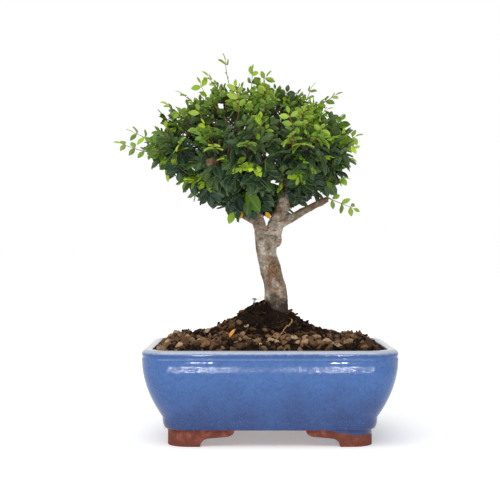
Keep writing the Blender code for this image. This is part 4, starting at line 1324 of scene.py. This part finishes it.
def height_share(level):
    """0 at the foot of the crown, 1 at its top."""
    return min(max((level - CROWN_FOOT) / (CROWN_TOP - CROWN_FOOT), 0.0), 1.0)


def plan_shoots(foliage):
    """All leafy shoots of the crown: foot, tip, outward direction, age, leaf length and leaf pairs."""
    draw = random.Random(21)
    shoots = []
    layers = ((0.95, foliage.outer_spacing, True), (0.74, foliage.inner_spacing, False),
              (0.5, foliage.inner_spacing * 1.3, False))
    for seed, (scale, spacing, outer) in enumerate(layers):
        for point, outward in zip(*crown_places(scale, spacing / MM, seed)):
            if point[2] < LOWEST_TIP + draw.uniform(0, 6):
                continue
            out = Vector(outward)
            rise = height_share(point[2])
            ends = max(-point[0] - 78, point[0] - 48, 0) / 20
            ahead = (out * 0.8 + UP * (0.1 + 0.5 * rise) + random_vector(draw) * 0.32).normalized()
            gap = noise.noise(Vector(point) / 13)
            if gap < -0.22 and rise > 0.1:
                continue
            # Older and darker low in the crown and inside it: partly the leaves' real age, partly painted
            # shade
            age = OLDEST_GREEN - 0.55 * rise + draw.gauss(0, 0.09) + (0.0 if outer else 0.2)
            if outer and draw.random() < 0.02 + 0.72 * rise + 0.4 * min(ends, 1) + 0.4 * gap:
                age = draw.uniform(0.0, 0.3)
            age = min(max(age, 0.0), OLDEST_GREEN)
            leaf = foliage.young_leaf + (foliage.old_leaf - foliage.young_leaf) * (1 - rise) ** 1.5
            leaf = min(leaf * 0.88, 8.5 * MM) if age < 0.3 else leaf
            tip = from_pot(*point) + out * draw.triangular(-5, 6, 0) * MM
            stem = draw.uniform(12, 20) * MM
            pairs = 3 + (stem > 15 * MM) + (rise > 0.55)
            shoots.append((tip - ahead * stem, tip, out, age, leaf * draw.uniform(0.85, 1.15), pairs))
    return shoots


def in_opening(place):
    """Whether a place is in one of the crown's openings, as they are seen from the front."""
    back = place.y / MM
    nearer = VIEW_DISTANCE / (VIEW_DISTANCE + back)
    across = (place.x - MIDDLE_X) / MM * nearer
    level = EYE_LEVEL + (place.z / MM - EYE_LEVEL) * nearer
    return any(math.hypot(across - x, level - z) < radius + 1 and back < reach
               for x, z, radius, reach in OPENINGS)


def leaf_matrix(foot, along, normal, length, width):
    """The matrix that puts a leaf's foot at a place, with its tip along a direction."""
    normal = (normal - along * normal.dot(along)).normalized()
    across = along.cross(normal)
    matrix = Matrix((across * length * width, along * length, normal * length)).transposed().to_4x4()
    matrix.translation = foot
    return matrix


def bowed(foot, run, bow):
    """The points of a thin rod from its foot along a run, bowed out in the middle."""
    return [foot + run * share + bow * math.sin(share * math.pi) for share in spread(0, 1, PATH_POINTS)]


def grow_shoot(heap, shapes, draw, foot, tip, out, age, leaf, pairs):
    """Add one shoot to a heap: a thin curved stem, opposite pairs of leaves and one at the tip."""
    rod, leaves = shapes
    run = tip - foot
    ahead = run.normalized()
    sway = random_vector(draw)
    sway = (sway - ahead * sway.dot(ahead)) * run.length * 0.07
    path = bowed(foot, run, sway)
    radii = [max(0.52 - 0.04 * k, 0.26) * MM for k in range(PATH_POINTS)]
    if not in_opening(foot.lerp(tip, 0.6)):
        heap.add(rod, bend_rod(rod, path, radii), 1, age=age, tone=draw.random())
    low = max(1 - height_share(foot.z / MM), 0)
    facing = UP * (1.2 - 1.0 * low ** 2) + out * (0.25 + 0.75 * low ** 2) + random_vector(draw) * 0.4
    facing = (facing - ahead * facing.dot(ahead)).normalized()
    side = ahead.cross(facing)
    wishes = [(tip, ahead, 0.8, 0.0)]
    for pair in range(pairs):
        share = 0.22 + 0.68 * pair / (pairs - 1)
        place = foot + run * share + sway * math.sin(share * math.pi)
        turn = Matrix.Rotation(draw.gauss(0, 0.45), 3, ahead)
        for hand in (-1, 1):
            lean = draw.uniform(0.25, 0.75)
            along = (ahead * lean + (turn @ side) * hand - UP * 0.25 * low).normalized()
            size = (0.85 + 0.3 * math.sin(share * 2.6)) * draw.uniform(0.85, 1.1)
            wishes.append((place, along, size, (1 - share) * 0.22))
    for place, along, size, older in wishes:
        if draw.random() < 0.05 or in_opening(place + along * leaf * size / 2):
            continue
        normal = facing + random_vector(draw) * 0.35
        matrix = leaf_matrix(place + along * 0.4 * MM, along, normal, leaf * size, draw.uniform(0.85, 1.15))
        heap.place(draw.choice(leaves), matrix, 0, tone=draw.random(),
                   age=min(max(age + older + draw.gauss(0, 0.05), 0), OLDEST_GREEN))


SPRAY_MIDDLES = {node: middle_of(node) for node in nodes_called("leaf_spray")}


def nearest_spray(place):
    """The CAD spray whose middle is nearest to a place."""
    return min(SPRAY_MIDDLES, key=lambda node: (SPRAY_MIDDLES[node] - place).length)


class BONSAI_OT_foliage(bpy.types.Operator):
    """Grow the leafy shoots, one piece for each CAD spray, and the twigs that carry them"""
    bl_idname = "bonsai.foliage"
    bl_label = "Foliage and Twigs"

    def execute(self, context):
        foliage = context.scene.bonsai_foliage
        draw = random.Random(33)
        rod = model_rod(4)
        leaves = [model_leaf(0.3, 0.12), model_leaf(0.12, 0.3), model_leaf(0.5, 0.22)]
        owners = nodes_called("leaf_spray", "shoot_")
        heaps = {node: Heap("age", "tone", "across", "under") for node in owners}
        feet = []
        for foot, tip, *rest in plan_shoots(foliage):
            grow_shoot(heaps[nearest_spray(tip)], (rod, leaves), draw, foot, tip, *rest)
            feet.append(foot)
        for node, foot, tip, pairs in LONG_SHOOTS:
            foot = from_pot(*foot)
            tip = from_pot(*tip)
            out = (tip - foot).normalized()
            if node == "leaf_spray":
                node = nearest_spray(tip)
            grow_shoot(heaps[node], (rod, leaves), draw, foot, tip, (out - UP * 0.2).normalized(), 0.12,
                       foliage.young_leaf * 1.1, pairs)
            feet.append(foot)
        for foot, tip, age, tone in SINGLE_LEAVES:
            foot = from_pot(*foot)
            run = from_pot(*tip) - foot
            matrix = leaf_matrix(foot, run.normalized(), Vector((0, -1, 0.3)), run.length, 1.1)
            heaps[nearest_spray(foot)].place(leaves[1], matrix, 0, age=age, tone=tone)
        skin = leaf_skin(foliage)
        bark = shoot_bark("young_shoot_bark")
        for node, heap in heaps.items():
            hand_over(heap.build(f"leaves_{node}"), 50, [skin, bark], [node])

        # Twigs: each shoot's foot is joined to the nearest wood or earlier twig, inner ones first
        trunk = bpy.data.objects["trunk_and_limbs"].data
        wood = [vertex.co.copy() for vertex in trunk.vertices if vertex.co.z > TWIG_LEVEL * MM][::7]
        heart = from_pot(*CROWN_HEART)
        twig_heap = Heap("age", "tone")
        for foot in sorted(feet, key=lambda place: (place - heart).length):
            tree = KDTree(len(wood))
            for number, point in enumerate(wood):
                tree.insert(point, number)
            tree.balance()
            holder = tree.find(foot - (foot - heart).normalized() * 4 * MM)[0]
            run = foot - holder
            if run.length < 1 * MM:
                continue
            sag = UP * run.length * -0.12 + random_vector(draw) * run.length * 0.05
            path = bowed(holder, run, sag)
            radii = [(0.85 - 0.07 * k) * MM for k in range(PATH_POINTS)]
            twig_heap.add(rod, bend_rod(rod, path, radii), age=0.6 + 0.4 * draw.random(),
                          tone=draw.random())
            wood.extend(path[2:6])
        hand_over(twig_heap.build("twigs"), 50, [shoot_bark("twig_bark")])
        return {"FINISHED"}


# ---------------------------------------------------------------- stage
CAMERA_LEFT = 15.7 * MM  # how far the camera stands to the left of the pot's middle
STRIP_SIZE = (0.035, 0.03)
STRIP_PLACES = {"strip_left": Vector((-0.145, -1.05, 0.16)), "strip_right": Vector((0.2, -1.05, 0.16))}


def add_soft_box(name, place, aim, size, power):
    """A rectangular soft light at a place, turned to a point."""
    light = bpy.data.lights.new(name, "AREA")
    light.shape = "RECTANGLE"
    light.size, light.size_y = size
    light.energy = power
    lamp = bpy.data.objects.new(name, light)
    lamp.location = place
    lamp.rotation_euler = (aim - place).to_track_quat("-Z", "Y").to_euler()
    bpy.context.scene.collection.objects.link(lamp)


class BONSAI_OT_stage(bpy.types.Operator):
    """Set up the floor, the camera and the lights"""
    bl_idname = "bonsai.stage"
    bl_label = "Stage"

    def execute(self, context):
        stage = context.scene.bonsai_stage
        scene = context.scene
        floor = add_primitive("plane", "floor", size=12)
        floor.data.materials.append(opal_acrylic())

        camera_data = bpy.data.cameras.new("camera")
        camera_data.lens = stage.lens
        camera_data.sensor_width = 36
        camera = bpy.data.objects.new("camera", camera_data)
        camera.location = (MIDDLE_X - CAMERA_LEFT, -stage.distance, stage.eye_level)
        camera.rotation_euler = (math.radians(90), 0, 0)
        scene.collection.objects.link(camera)
        scene.camera = camera

        # The surroundings are pure white behind the plant, and light it more softly than they look
        world = bpy.data.worlds.new("white_surroundings")
        world.use_nodes = True
        tree = world.node_tree
        rays = add_node(tree, "LightPath", {}).node.outputs
        mirrored = add_node(tree, "Math", {0: rays["Is Camera Ray"], 1: rays["Is Glossy Ray"]},
                            operation="MAXIMUM")
        level = add_node(tree, "MapRange", {"Value": mirrored, "To Min": stage.sky, "To Max": 1.0})
        set_inputs(tree, tree.nodes["Background"], {"Color": grey(1), "Strength": level})
        scene.world = world
        scene.view_settings.view_transform = "Standard"
        sun = bpy.data.lights.new("top_light", "SUN")
        sun.energy = stage.top_light
        sun.angle = math.radians(60)
        lamp = bpy.data.objects.new("top_light", sun)
        lamp.rotation_euler = (math.radians(28), math.radians(-12), 0)
        scene.collection.objects.link(lamp)
        aim = Vector((MIDDLE_X, -HALF_Y, 60 * MM))
        for name, place in STRIP_PLACES.items():
            add_soft_box(name, place, aim, STRIP_SIZE, stage.strip_power)
        return {"FINISHED"}


# ---------------------------------------------------------------- panel and registration
OPERATORS = (BONSAI_OT_stage, BONSAI_OT_pot, BONSAI_OT_drain_mesh, BONSAI_OT_soil, BONSAI_OT_gravel,
             BONSAI_OT_litter, BONSAI_OT_trunk, BONSAI_OT_foliage)
SETTINGS = {
    "bonsai_pot": PotSettings,
    "bonsai_soil": SoilSettings,
    "bonsai_wood": WoodSettings,
    "bonsai_foliage": FoliageSettings,
    "bonsai_stage": StageSettings,
}


class BONSAI_PT_pieces(bpy.types.Panel):
    """The pieces of the bonsai, with their settings"""
    bl_label = "Bonsai"
    bl_idname = "BONSAI_PT_pieces"
    bl_space_type = "VIEW_3D"
    bl_region_type = "UI"
    bl_category = "Bonsai"

    def draw(self, context):
        for group_name, group in SETTINGS.items():
            box = self.layout.box()
            for name in group.__annotations__:
                box.prop(getattr(context.scene, group_name), name)
        for operator in OPERATORS:
            self.layout.operator(operator.bl_idname)


CLASSES = (*SETTINGS.values(), *OPERATORS, BONSAI_PT_pieces)


def register():
    """Register the classes and put the settings on the scene."""
    for kind in CLASSES:
        bpy.utils.register_class(kind)
    for name, group in SETTINGS.items():
        setattr(bpy.types.Scene, name, PointerProperty(type=group))


def unregister():
    """Take the settings off the scene and unregister the classes."""
    for name in SETTINGS:
        delattr(bpy.types.Scene, name)
    for kind in reversed(CLASSES):
        bpy.utils.unregister_class(kind)


def main():
    """Build every piece."""
    register()
    for operator in OPERATORS:
        group, name = operator.bl_idname.split(".")
        getattr(getattr(bpy.ops, group), name)()


if __name__ == "__main__":
    main()
